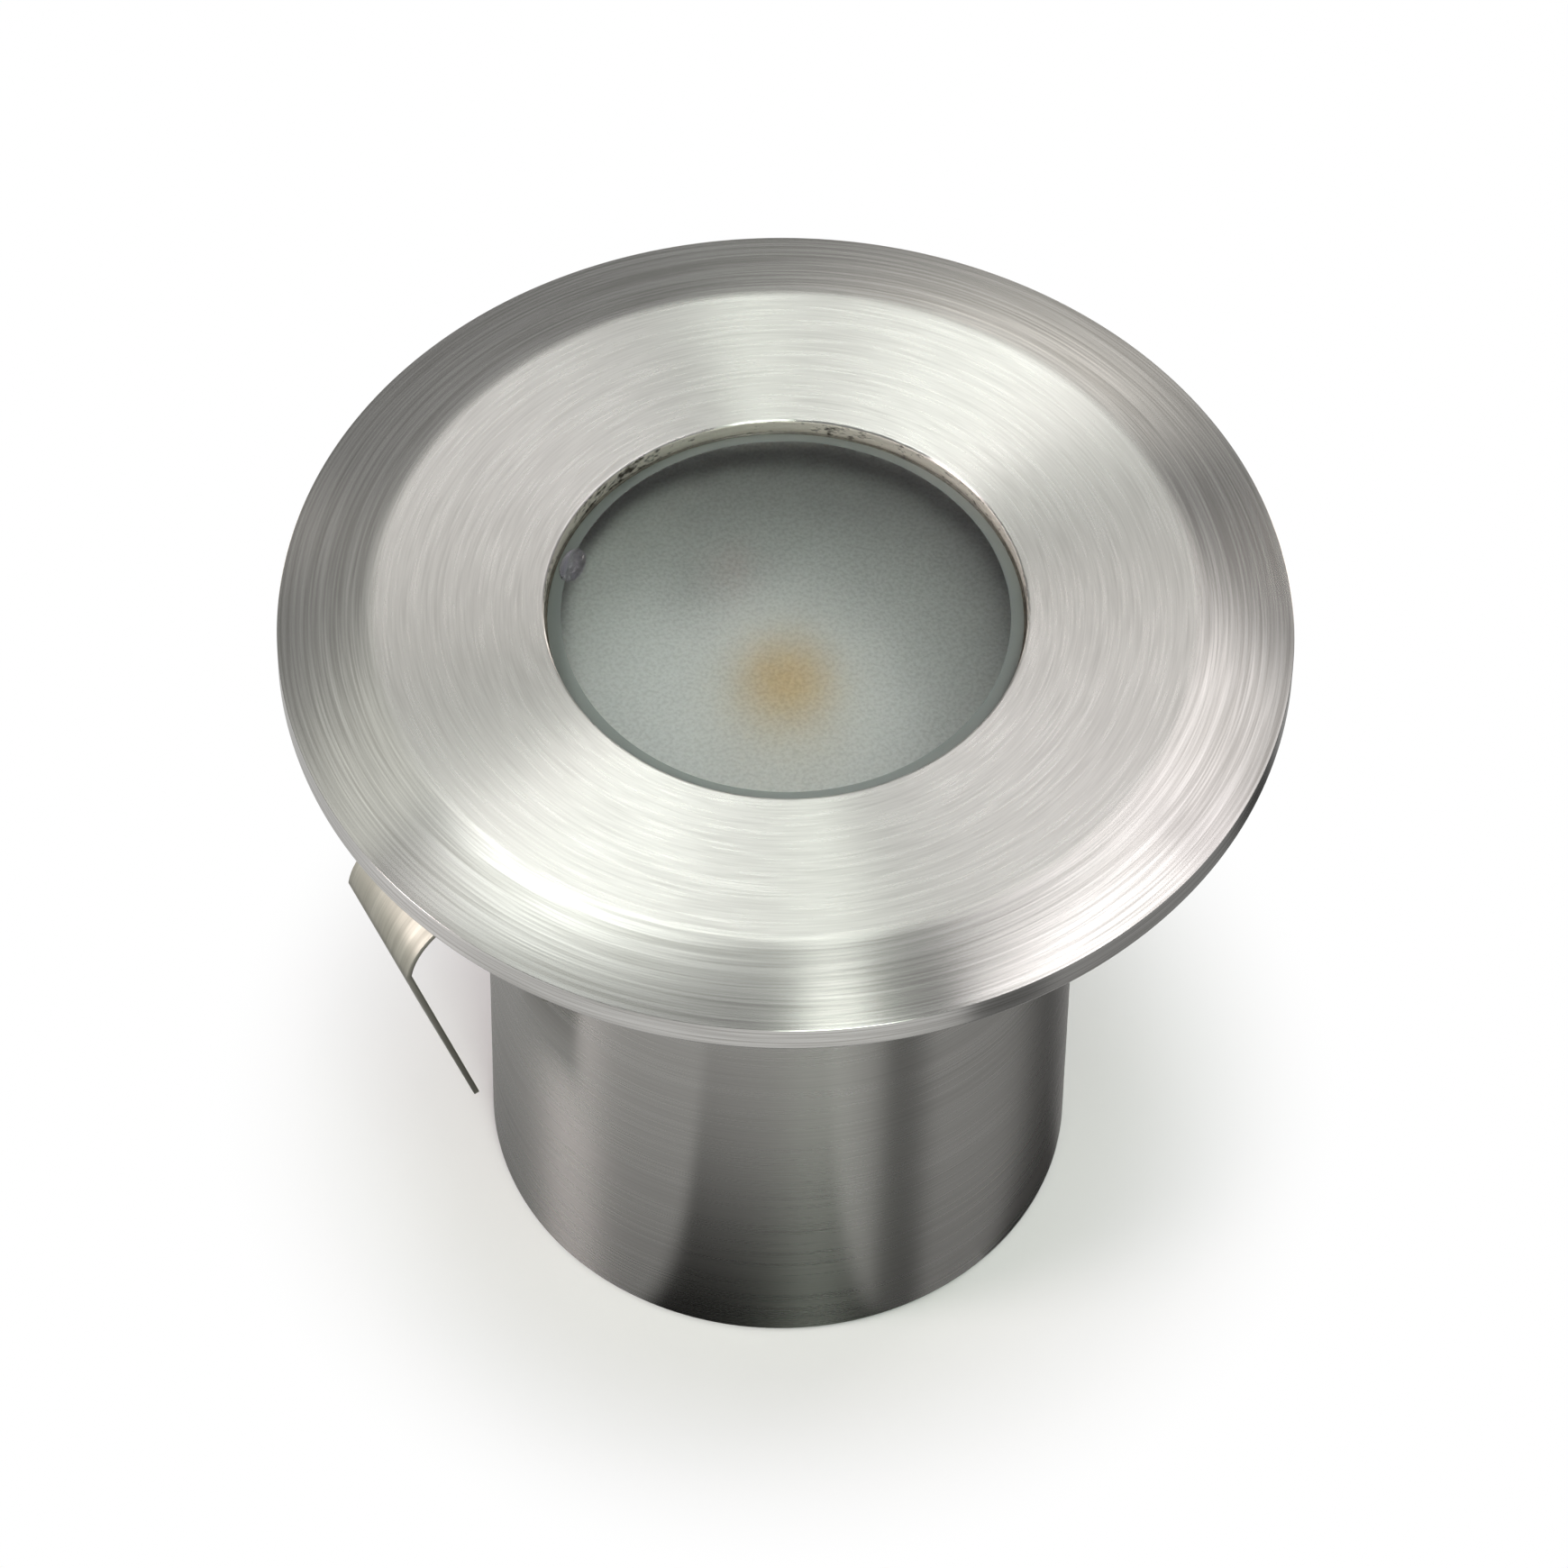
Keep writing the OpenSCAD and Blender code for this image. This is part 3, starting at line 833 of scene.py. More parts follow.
STOCK = {
    # Clear neutral-cure silicone, dulled by handling
    "sealant": Grained("clear_silicone", "#6F6B62", "#38342E", 0.35, 0.25, 0.01, ior=1.41),
    # Moulded EPDM rubber, near black, with the bloom of its surface
    "seal_rubber": Grained("moulded_epdm_rubber", "#2E2E2D", "#1C1C1B", 0.62, 0.18, 0.006),
    # White solder mask on an aluminium-core board, slightly glossy, with painted shade that greys
    # it towards its rim, outside a circle set off to one side
    "white_board": Grained(
        *("white_solder_mask_painted_shade", "#FFFFFD", "#FBFBF8", 0.38, 0.2, 0.001),
        surround="#B2B4B0",
        centre=(-4.6, -1.2),
        reach=(7.5, 14.5),
    ),
    # Yellow phosphor in silicone over the die
    "phosphor": Grained("phosphor_silicone", "#F2C040", "#E3A92B", 0.4, 0.12, 0.003, ior=1.41),
    # Grey filled silicone pad, rubbery and matt
    "thermal_pad": Grained("filled_silicone_pad", "#9EA7B0", "#8A939C", 0.7, 0.3, 0.006),
    # Aluminium alloy 6063, milled, with fine tool lines
    "aluminium": Grained(
        "milled_aluminium", "#C9CBCD", "#AEB1B4", 0.34, 0.2, 0.002, 1.0, (1.0, 0.08, 1.0)
    ),
    # Bright zinc plate on steel screws
    "zinc_steel": Grained("bright_zinc_plate", "#C4C7CB", "#A4A8AE", 0.28, 0.15, 0.001, 1.0),
    # Glass-epoxy board under green solder mask
    "green_board": Grained("green_solder_mask", "#2C6E49", "#215A3A", 0.35, 0.35, 0.001),
    # Wound ferrite drum, dark grey ceramic
    "ferrite": Grained("sintered_ferrite", "#4A4644", "#33302F", 0.55, 0.2, 0.004),
    # Shrunk PET sleeve on the capacitors
    "component_sleeve": Grained("pet_sleeve", "#33405A", "#27324A", 0.3, 0.4, 0.001),
    # Black moulded epoxy of chips and resistors
    "component_black": Grained("moulded_epoxy", "#232425", "#161718", 0.5, 0.1, 0.003),
    # Green polyamide of the terminal block
    "terminal_plastic": Grained("moulded_polyamide", "#2F8A5B", "#24744B", 0.45, 0.15, 0.003),
    # Turned brass, warm and bright
    "brass": Grained("turned_brass", "#D9BC74", "#BE9F57", 0.26, 0.2, 0.001, 1.0),
    # Brass under nickel, a warm silver with soft reflections
    "nickel_brass": Grained("nickel_plated_brass", "#C9C2B4", "#A9A294", 0.24, 0.25, 0.002, 1.0),
    # PVC insulation of the leads
    "red_insulation": Grained("red_pvc", "#B2322A", "#98251F", 0.4, 0.3, 0.002),
    "black_insulation": Grained("black_pvc", "#262626", "#171717", 0.4, 0.3, 0.002),
    # Stainless blind rivets, set and left bright
    "rivet_steel": Grained("stainless_rivet", "#C6C3BC", "#A5A29B", 0.27, 0.2, 0.002, 1.0),
}
# The gasket under the glass: moulded grey silicone, with painted light: paler outside a circle set
# off to one side
GREY_GASKET = Grained(
    *("silicone_gasket_painted_light", "#3B3C3B", "#2B2C2B", 0.5, 0.2, 0.002),
    surround="#C6CAC6",
    centre=(12.6, 3.4),
    reach=(12.5, 21.5),
)
# The LED's moulded reflector, warm white, with the phosphor's glow painted on it in yellow round
# the die
LED_REFLECTOR = Grained(
    *("moulded_reflector_painted_glow", "#F3CE84", "#EBC273", 0.4, 0.2, 0.001),
    surround="#F6F1E4",
    reach=(2.2, 3.4),
)
# A drop of clear silicone that stayed on the glass
DROP_SILICONE = Grained(
    "silicone_drop", "#FFFCFF", "#F1EAFF", 0.03, 0.6, 0.04, ior=1.45, transmission=0.97
)


# ---------------------------------------------------------------- sub-assemblies


@dataclass
class Housing:
    """The turned steel shell: bezel, barrel and base plate."""

    bezel_r: float = 30.0
    flat_r: float = 24.0
    bend_r: float = 24.8
    # The bevel's slope in degrees where its bend ends and at the rim
    slopes: Point = (11.5, 17.0)
    window_r: float = 14.25
    barrel_r: float = 18.0
    barrel_ir: float = 16.8
    step_r: float = 18.1
    neck_r: float = 16.7
    neck_bore_r: float = 13.2
    ledge_r: float = 13.0
    groove_r: float = 15.24
    face: float = 49.2
    rim_corner: float = 47.847
    deck: float = 46.0
    step: float = 46.3
    groove: Point = (42.1, 43.8)
    neck_end: float = 36.0
    ledge: Point = (43.95, 44.95)
    barrel_top: float = 46.28
    foot_chamfer: float = 0.2
    base: Point = (10.0, 12.0)
    base_gap: float = 0.02
    gland_hole_r: float = 6.1
    weld: float = 0.6

    def bevel(self) -> list[Point]:
        """The bevel's outline from the flat to the rim: a soft bend, then slightly crowned.

        Returns:
            Its points, outwards.
        """
        bend, crown = 8, 20
        radii = [self.flat_r + (self.bend_r - self.flat_r) * i / bend for i in range(bend)]
        radii += [self.bend_r + (self.bezel_r - self.bend_r) * i / crown for i in range(crown + 1)]
        drops = [0.0]
        for inner, outer in pairwise(radii):
            drops.append(drops[-1] + (outer - inner) * self.slope((inner + outer) / 2))
        scale = (self.face - self.rim_corner) / drops[-1]
        return [(radius, self.face - drop * scale) for radius, drop in zip(radii, drops)]

    def slope(self, radius: float) -> float:
        """How steeply the bevel falls at a radius.

        Args:
            radius: The distance from the axis.

        Returns:
            The fall over the run.
        """
        first, last = (math.tan(math.radians(angle)) for angle in self.slopes)
        if radius < self.bend_r:
            t = (radius - self.flat_r) / (self.bend_r - self.flat_r)
            return first * t * t * (3 - 2 * t)
        return first + (last - first) * (radius - self.bend_r) / (self.bezel_r - self.bend_r)

    def bezel(self) -> Piece:
        """Turns the bezel and breaks its edges.

        Returns:
            The mesh object.
        """
        # The ring just inside the bend keeps the flat flat
        inside = self.flat_r - 0.1
        face = [(self.window_r, self.face), (inside, self.face), *self.bevel()]
        rim = len(face) - 1
        body = Turned(
            "bezel_ring",
            [
                *face,
                (self.bezel_r, self.deck),
                (self.step_r, self.deck),
                (self.step_r, self.step),
                (self.neck_r, self.step),
                (self.neck_r, self.groove[1]),
                (self.groove_r, self.groove[1]),
                (self.groove_r, self.groove[0]),
                (self.neck_r, self.groove[0]),
                (self.neck_r, self.neck_end),
                (self.neck_bore_r, self.neck_end),
                (self.neck_bore_r, self.ledge[0]),
                (self.ledge_r, self.ledge[0]),
                (self.ledge_r, self.ledge[1]),
                (self.window_r, self.ledge[1]),
            ],
            rounds={0: (0.16, 3), rim: (0.03, 2), rim + 1: (0.25, 5)},
            steps=256,
        ).build()
        # Just over the ledge, just outside the window's wall, and just under its broken edge
        ledge, wall_r, edge = self.ledge[1] + 0.1, self.window_r + 0.02, self.face - 0.04

        def finish(centre: Vector, normal: Vector) -> int:
            """Brushed outside, as turned in the window, darker below the glass, with painted light
            on one side.

            Args:
                centre: The face's centre.
                normal: Which way it looks; not used.

            Returns:
                The number of its material.
            """
            radius = math.hypot(centre.x, centre.y)
            if centre.z < self.step and radius < self.step_r or centre.z < ledge:
                return 2
            return 1 if radius < wall_r and centre.z < edge else 0

        dress(body, [FACE_STEEL.build(), BORE_STEEL.build(), NECK_STEEL.build()], finish)
        return body

    def tube(self, steel: Material) -> Piece:
        """Turns the barrel, with a chamfered foot.

        Args:
            steel: The barrel's steel.

        Returns:
            The mesh object.
        """
        inner, outer, top, cut = self.barrel_ir, self.barrel_r, self.barrel_top, self.foot_chamfer
        outline = [(inner, 0.0), (outer - cut, 0.0), (outer, cut), (outer, top), (inner, top)]
        return Turned("barrel", outline, rounds={0: (0.15, 2)}).build(steel)

    def base_plate(self, steel: Material) -> Piece:
        """Turns the base plate with the fillet of its weld.

        Args:
            steel: The barrel's steel.

        Returns:
            The mesh object.
        """
        rim = self.barrel_ir - self.base_gap
        low, high = self.base
        hollow = 0.3 * self.weld
        return Turned(
            "barrel_base",
            [
                (self.gland_hole_r, low),
                (rim - self.weld, low),
                (rim - hollow, low - hollow),
                (rim, low - self.weld),
                (rim, high),
                (self.gland_hole_r, high),
            ],
        ).build(steel)

    def build(self) -> None:
        """Builds the shell and hands its pieces to the frame."""
        barrel_steel = BARREL_STEEL.build()
        hand_over(self.bezel(), Body.HOUSING, "bezel")
        hand_over(self.tube(barrel_steel), Body.HOUSING, "housing_tube")
        hand_over(self.base_plate(barrel_steel), Body.HOUSING, "base_plate")


@dataclass
class Window:
    """The glass, the silicone round it and a drop that was left on it."""

    lens_r: float = 14.05
    bottom: float = 45.45
    top: float = 48.45
    # Width and depth, as the photograph shows a wide and shallow one
    chamfer: Point = (0.78, 0.26)
    gap: Point = (14.07, 14.23)
    fillet: float = 0.06
    drop_at: tuple[float, float, float] = (-9.1, 9.45, 48.4)
    drop_r: float = 1.05
    # Its width towards the axis, along the edge and upwards
    drop_shape: tuple[float, float, float] = (0.7, 1.25, 0.45)

    def lens(self) -> Piece:
        """Shapes the glass with a ground chamfer.

        Returns:
            The mesh object.
        """
        width, depth = self.chamfer
        body = Turned(
            "glass",
            [
                (self.lens_r, self.bottom),
                (self.lens_r, self.top - depth),
                (self.lens_r - width, self.top),
                (0.0, self.top),
            ],
            solid=True,
        ).build()

        def finish(centre: Vector, normal: Vector) -> int:
            """Etched on top, ground on the chamfer, clear elsewhere.

            Args:
                centre: The face's centre; not used.
                normal: Which way it looks.

            Returns:
                The number of its material.
            """
            level, slanted = 0.99, 0.3
            if normal.z > level:
                return 0
            return 2 if normal.z > slanted else 1

        dress(body, [ETCHED_GLASS.build(), CLEAR_GLASS.build(), GROUND_GLASS.build()], finish)
        return body

    def sealant(self) -> Piece:
        """Lays the silicone, hollow between the glass and the steel.

        Returns:
            The mesh object.
        """
        inner, outer = self.gap
        level = self.top - self.chamfer[1]
        return Turned(
            "glass_sealant",
            [
                (inner, self.bottom),
                (outer, self.bottom),
                (outer, level),
                ((inner + outer) / 2, level - self.fillet),
                (inner, level),
            ],
        ).build(STOCK["sealant"].build())

    def drop(self) -> Piece:
        """Flattens a ball into the drop on the glass.

        Returns:
            The mesh object.
        """
        deselect_all()
        bpy.ops.mesh.primitive_uv_sphere_add(segments=32, ring_count=16, radius=self.drop_r * MM)
        body = bpy.context.object
        body.name = body.data.name = "sealant_drop"
        with editing(body):
            bpy.ops.mesh.bisect(
                plane_co=(0, 0, 0), plane_no=(0, 0, 1), clear_inner=True, use_fill=True
            )
            bpy.ops.mesh.select_all(action="SELECT")
            bpy.ops.transform.resize(value=self.drop_shape, center_override=(0, 0, 0))
            bpy.ops.mesh.normals_make_consistent(inside=False)
        x, y, z = self.drop_at
        body.rotation_euler = (0, 0, math.atan2(y, x))
        body.location = (x * MM, y * MM, z * MM)
        apply_place(body)
        smooth(body, 60)
        dress(body, [DROP_SILICONE.build()])
        return body

    def build(self) -> None:
        """Builds the window and hands its pieces to the frame."""
        hand_over(self.lens(), Body.HOUSING, "lens")
        hand_over(self.sealant(), Body.HOUSING, "lens_adhesive")
        hand_over(self.drop(), Body.HOUSING)


@dataclass
class Gland:
    """The cable gland's parts that show in the recess under the barrel."""

    across_flats: float = 15.0
    corner: float = 0.12
    nut: Point = (1.6, 6.6)
    mouth_r: float = 3.5
    cup_r: float = 5.9
    lip: float = 1.0
    crown_r: float = 7.1
    crown_h: float = 1.04
    seal: Point = (2.62, 7.0)
    seal_r: Point = (3.1, 4.88)
    washer: Point = (9.2, 10.0)
    washer_r: Point = (6.0, 7.5)

    def clamp_nut(self) -> Piece:
        """Cuts a turned blank with chamfered crowns to a hexagon.

        Returns:
            The mesh object.
        """
        low, high = self.nut
        corner_r = self.across_flats / 2 / math.cos(math.pi / 6)
        blank_r = corner_r + 0.2
        blank = Turned(
            "clamp_nut",
            [
                (self.mouth_r, low),
                (self.crown_r, low),
                (blank_r, low + self.crown_h),
                (blank_r, high - self.crown_h),
                (self.crown_r, high),
                (self.cup_r, high),
                (self.cup_r, low + self.lip),
                (self.mouth_r, low + self.lip),
            ],
            rounds={0: (0.3, 4), 1: (0.15, 2)},
            steps=96,
        ).build()
        deselect_all()
        bpy.ops.mesh.primitive_cylinder_add(
            vertices=6,
            radius=corner_r * MM,
            depth=3 * (high - low) * MM,
            location=(0, 0, (low + high) / 2 * MM),
            rotation=(0, 0, math.pi / 2),
        )
        hexagon = bpy.context.object
        with editing(hexagon):
            pick(hexagon, Element.EDGE, lambda ends: abs(ends[0].z - ends[1].z) > 0.001 * MM)
            bpy.ops.mesh.bevel(offset=self.corner * MM, segments=3, affect="EDGES")
        cut = blank.modifiers.new("hexagon", "BOOLEAN")
        cut.operation = "INTERSECT"
        cut.object = hexagon
        apply_modifiers(blank)
        bpy.data.objects.remove(hexagon)
        smooth(blank, 25)
        return blank

    @staticmethod
    def ring(name: str, height: Point, radii: Point, corners: Point, setback: float) -> Piece:
        """Moulds a rubber ring with two rounded corners.

        Args:
            name: The piece's name.
            height: Where it starts and ends.
            radii: Its inner and outer radius.
            corners: The numbers of the rounded corners.
            setback: How far they are rounded.

        Returns:
            The mesh object.
        """
        (low, high), (inner, outer) = height, radii
        outline = [(inner, low), (outer, low), (outer, high), (inner, high)]
        rounds = {corner: (setback, 4) for corner in corners}
        return Turned(name, outline, rounds=rounds, steps=96).build()

    def build(self, stock: dict[str, Material]) -> None:
        """Builds the gland's pieces and hands them to the frame.

        Args:
            stock: The stock materials by slot.
        """
        nut = self.clamp_nut()
        # The seal's mouth is rounded, and the washer's edge bulges
        seal = self.ring("clamp_seal", self.seal, self.seal_r, (0, 3), 0.35)
        washer = self.ring("clamp_washer", self.washer, self.washer_r, (1, 2), 0.25)
        for piece, slot, node in (
            (nut, "nickel_brass", "gland_nut"),
            (seal, "seal_rubber", "gland_seal"),
            (washer, "seal_rubber", "gland_washer"),
        ):
            dress(piece, [stock[slot]])
            hand_over(piece, Body.HOUSING, node)


@dataclass
class Clip:
    """One spring clip and its two blind rivets."""

    side: Side
    width: float = 8.0
    thickness: float = 0.35
    leg_x: float = 18.195
    foot: float = 25.5
    centre: Point = (22.915, 35.0)
    bend_r: float = 4.72
    elbow: float = 8.5
    free_leg: float = 15.45
    lean: float = 16.3
    # The bend twists a little, so the free leg stands turned about a line near its elbow
    turn: float = 2.75
    turn_x: float = 28.5
    foot_corner: float = 2.2
    tip_corner: float = 0.9
    broken_edge: float = 0.06
    bend_steps: int = 34
    blend_from: float = 18.4
    blend_to: float = 23.3
    rivets: Point = (26.925, 30.725)
    head_r: float = 1.52
    head_h: float = 0.64
    rim_h: float = 0.12
    # The hollow that the mandrel left in the head
    hollow_r: float = 0.46
    hollow_taper: float = 0.06
    hollow_floor: float = 0.35
    shank_r: float = 0.8
    bulb: Point = (15.131, 16.731)
    bulb_r: float = 1.28
    # How far the bulb's ends are rounded, inwards and along
    bulb_end: Point = (0.2, 0.25)

    def path(self) -> list[Point]:
        """The strip's middle line from its foot to its tip, as X and Z.

        Returns:
            Its points.
        """
        leg, tip = 4, 6
        rise = (self.centre[1] - self.foot) / leg
        points = [(self.leg_x, self.foot + rise * i) for i in range(leg)]
        for i in range(self.bend_steps + 1):
            angle = math.radians(180 + (self.elbow - 180) * i / self.bend_steps)
            x, z = (self.bend_r * part for part in (math.cos(angle), math.sin(angle)))
            points.append((self.centre[0] + x, self.centre[1] + z))
        x, z = points[-1]
        lean = math.radians(self.lean)
        steps = [self.free_leg * i / tip for i in range(1, tip + 1)]
        return points + [(x - math.sin(lean) * step, z - math.cos(lean) * step) for step in steps]

    @staticmethod
    def beside(point: Point) -> Test:
        """A test for what lies across the strip at a point of its path.

        Args:
            point: The point's X and Z.

        Returns:
            A test for pick().
        """
        (x, z), slack = point, 0.01
        return lambda at: all(math.hypot(p.x / MM - x, p.z / MM - z) < slack for p in at)

    def strip(self, steel: Material) -> Piece:
        """Bends the strip along its path and gives it thickness and soft edges.

        Args:
            steel: The strip's spring steel.

        Returns:
            The mesh object.
        """
        path = [(x * self.side.value, z) for x, z in self.path()]
        start, first = path[0], path[1]
        rise = first[1] - start[1]
        deselect_all()
        bpy.ops.mesh.primitive_plane_add(
            size=1,
            location=(start[0] * MM, 0, (start[1] + rise / 2) * MM),
            rotation=(0, math.pi / 2, 0),
        )
        body = bpy.context.object
        body.name = body.data.name = f"spring_clip_{self.side.word}"
        body.scale = (rise * MM, self.width * MM, 1)
        apply_place(body)
        with editing(body):
            pick(body, Element.EDGE, self.beside(first))
            for here, there in pairwise(path[1:]):
                step = ((there[0] - here[0]) * MM, 0, (there[1] - here[1]) * MM)
                bpy.ops.mesh.extrude_region_move(TRANSFORM_OT_translate={"value": step})
            close_seams()
            for end, corner in ((start, self.foot_corner), (path[-1], self.tip_corner)):
                pick(body, Element.VERTEX, self.beside(end))
                bpy.ops.mesh.bevel(offset=corner * MM, segments=5, affect="VERTICES")
            self.twist(body)
        wall = body.modifiers.new("wall", "SOLIDIFY")
        wall.thickness, wall.offset, wall.use_even_offset = self.thickness * MM, 0, True
        edge = body.modifiers.new("edge", "BEVEL")
        edge.width, edge.segments = self.broken_edge * MM, 2
        edge.limit_method, edge.angle_limit = "ANGLE", math.radians(50)
        apply_modifiers(body)
        smooth(body, 40)
        dress(body, [steel])
        return body

    def twist(self, body: Piece) -> None:
        """Turns the strip's rings from the start of the bend to its crest, and all beyond.

        Args:
            body: The strip, in edit mode.
        """
        slack = 0.01
        crest, start = self.centre[0] - slack, self.centre[1] + slack
        width = self.centre[0] - self.leg_x
        steps = [
            ((x - self.leg_x) / width, self.beside((x * self.side.value, z)))
            for x, z in self.path()
            if x < crest and z > start
        ]
        steps.append((1.0, lambda at: abs(at[0].x) / MM > crest))
        for share, test in steps:
            pick(body, Element.VERTEX, test)
            bpy.ops.transform.rotate(
                value=math.radians(self.turn * share),
                orient_axis="Z",
                center_override=(self.side.value * self.turn_x * MM, 0, 0),
            )

    def rivet(self, height: float) -> Piece:
        """Sets one rivet: bulb, shank, and a domed head with its hollow.

        Args:
            height: The height of its axis.

        Returns:
            The mesh object, still without a material.
        """
        head = self.leg_x + self.thickness / 2
        wide, tall = self.head_r - self.hollow_r, self.head_h - self.rim_h
        dome = [
            (self.hollow_r + wide * math.cos(turn), head + self.rim_h + tall * math.sin(turn))
            for turn in (math.radians(angle) for angle in range(0, 91, 15))
        ]
        low, high = self.bulb
        inwards, along = self.bulb_end
        body = Turned(
            "rivet",
            [
                (self.bulb_r - inwards, low),
                (self.bulb_r, low + along),
                (self.bulb_r, high - along),
                (self.shank_r, high),
                (self.shank_r, head),
                (self.head_r, head),
                *dome,
                (self.hollow_r - self.hollow_taper, head + self.hollow_floor),
                (0.0, head + self.hollow_floor),
            ],
            solid=True,
            steps=48,
        ).build()
        body.rotation_euler = (0, self.side.value * math.pi / 2, 0)
        body.location = (0, 0, height * MM)
        apply_place(body)
        return body

    def build(self, steel: Material, bright: Material) -> None:
        """Builds the clip, and hands its rivets to the frame.

        Args:
            steel: The strip's spring steel.
            bright: The rivets' stainless.
        """
        strip = self.strip(steel)
        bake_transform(strip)
        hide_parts(f"clip_anchor_{self.side.word}", f"clip_leaf_{self.side.word}")
        log.info("%s: %d faces", strip.name, len(strip.data.polygons))
        rivets = join([self.rivet(z) for z in self.rivets], f"rivet_pair_{self.side.word}")
        dress(rivets, [bright])
        hand_over(rivets, Body.HOUSING, f"clip_rivets_{self.side.word}")


def hand_over(piece: Piece, body: Body, node: str | None = None) -> None:
    """Gives a finished piece to the frame.

    Args:
        piece: The mesh object.
        body: The body that it rides on.
        node: The CAD node that it stands for, if any.
    """
    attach(piece, body.value)
    if node:
        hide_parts(node)
    log.info("%s: %d faces, rides on %s", piece.name, len(piece.data.polygons), body.value)


def dress_cad_nodes(stock: dict[str, Material]) -> None:
    """Gives every CAD node that still shows the material of its slot.

    Args:
        stock: The stock materials by slot.
    """
    for name, node in sorted(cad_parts.items()):
        if node.hide_render:
            continue
        slot = {"led_package": "led_reflector", "lens_gasket": "lens_gasket"}.get(name, "")
        for holder in node.material_slots:
            holder.material = stock[slot or holder.material.name.split(".")[0]]
        log.info("%s: CAD node in %s", name, node.material_slots[0].material.name)


# ---------------------------------------------------------------- studio

WHITE = (1.0, 1.0, 1.0, 1.0)


def towards(azimuth: float, elevation: float) -> Vector:
    """A direction as the photograph sees it.

    Args:
        azimuth: Degrees round from the picture's right, so 90 is away from the camera.
        elevation: Degrees above the floor.

    Returns:
        The direction in the part's frame.
    """
    turn, rise = math.radians(azimuth + PHOTO_AZIMUTH), math.radians(elevation)
    level = math.cos(rise)
    return Vector((math.cos(turn) * level, math.sin(turn) * level, math.sin(rise)))


@dataclass(frozen=True)
class Softbox:
    """An oval patch of light on the room's walls, with a soft edge; angles in degrees."""

    azimuth: float
    elevation: float
    half_width: float
    half_height: float
    turn: float
    edge: float
    level: float
    tint: tuple[float, float, float] = (1.0, 1.0, 1.0)

    def build(self, nodes: Nodes, way: Socket) -> Socket:
        """Draws the patch.

        Args:
            nodes: The world's nodes.
            way: The direction looked in.

        Returns:
            The patch's light.
        """
        middle = towards(self.azimuth, self.elevation)
        level = towards(self.azimuth + 90, 0)
        rise = middle.cross(level)
        turn, half_width, half_height = (
            math.radians(angle) for angle in (self.turn, self.half_width, self.half_height)
        )
        wide = (level * math.cos(turn) + rise * math.sin(turn)) / math.sin(half_width)
        high = (rise * math.cos(turn) - level * math.sin(turn)) / math.sin(half_height)
        aside, above, ahead = (
            nodes.vector("DOT_PRODUCT", way, axis) for axis in (wide, high, middle)
        )
        off = nodes.add("CombineXYZ", {0: aside, 1: above}).outputs[0]
        inner, outer = 1 - self.edge / 2, 1 + self.edge / 2
        glow = nodes.ramp(nodes.vector("LENGTH", off), inner, outer, self.level, 0.0, soft=True)
        shown = nodes.math("MULTIPLY", glow, nodes.math("GREATER_THAN", ahead, 0.0))
        return nodes.vector("SCALE", self.tint, scale=shown)


@dataclass(frozen=True)
class PaintedShadeStreak:
    """Painted shade on the floor that only the metal mirrors, out of the camera's sight: a dark
    streak in the metal's reflection.
    """

    azimuth: float
    half_width: float
    spread: float
    fade: Point
    depth: float
    foot_r: float = 18.0
    softness: float = 1.2
    # The painted streak starts this far inside the barrel's foot
    overlap: float = 4.0

    def build(self, nodes: Nodes, place: Socket) -> Socket:
        """Draws the painted streak.

        Args:
            nodes: The floor's nodes.
            place: The place on the floor.

        Returns:
            How much of the floor's light is left there.
        """
        foot = towards(self.azimuth, 0) * self.foot_r * MM
        # The barrel turns a look at the camera's azimuth by twice the angle between them
        way = towards(2 * self.azimuth + 90, 0)
        across = way.cross(Vector((0, 0, 1)))
        offset = nodes.vector("SUBTRACT", place, foot)
        along, aside = (nodes.vector("DOT_PRODUCT", offset, axis) for axis in (way, across))
        widening = -math.tan(math.radians(self.spread))
        inside = nodes.math("MULTIPLY_ADD", along, widening, nodes.math("ABSOLUTE", aside))
        inner, outer = ((self.half_width + soft) * MM for soft in (-self.softness, self.softness))
        cover = nodes.ramp(inside, inner, outer, self.depth, 0.0, soft=True)
        near, far = self.fade
        fade = nodes.ramp(along, near * MM, far * MM, 1.0, 0.0, soft=True)
        front = nodes.math("GREATER_THAN", along, -self.overlap * MM)
        dark = nodes.math("MULTIPLY", nodes.math("MULTIPLY", cover, fade), front)
        return nodes.math("SUBTRACT", 1.0, dark)


@dataclass(frozen=True)
class Screen:
    """Painted shade on the floor beyond a line, that only the metal mirrors, and that dims one side
    of the rim.
    """

    azimuth: float
    near: float
    far: float
    level: float

    def build(self, nodes: Nodes, place: Socket) -> Socket:
        """Draws the painted shade.

        Args:
            nodes: The floor's nodes.
            place: The place on the floor.

        Returns:
            How much of the floor's light is left there.
        """
        out = nodes.vector("DOT_PRODUCT", place, towards(self.azimuth, 0))
        return nodes.ramp(out, self.near * MM, self.far * MM, 1.0, self.level, soft=True)


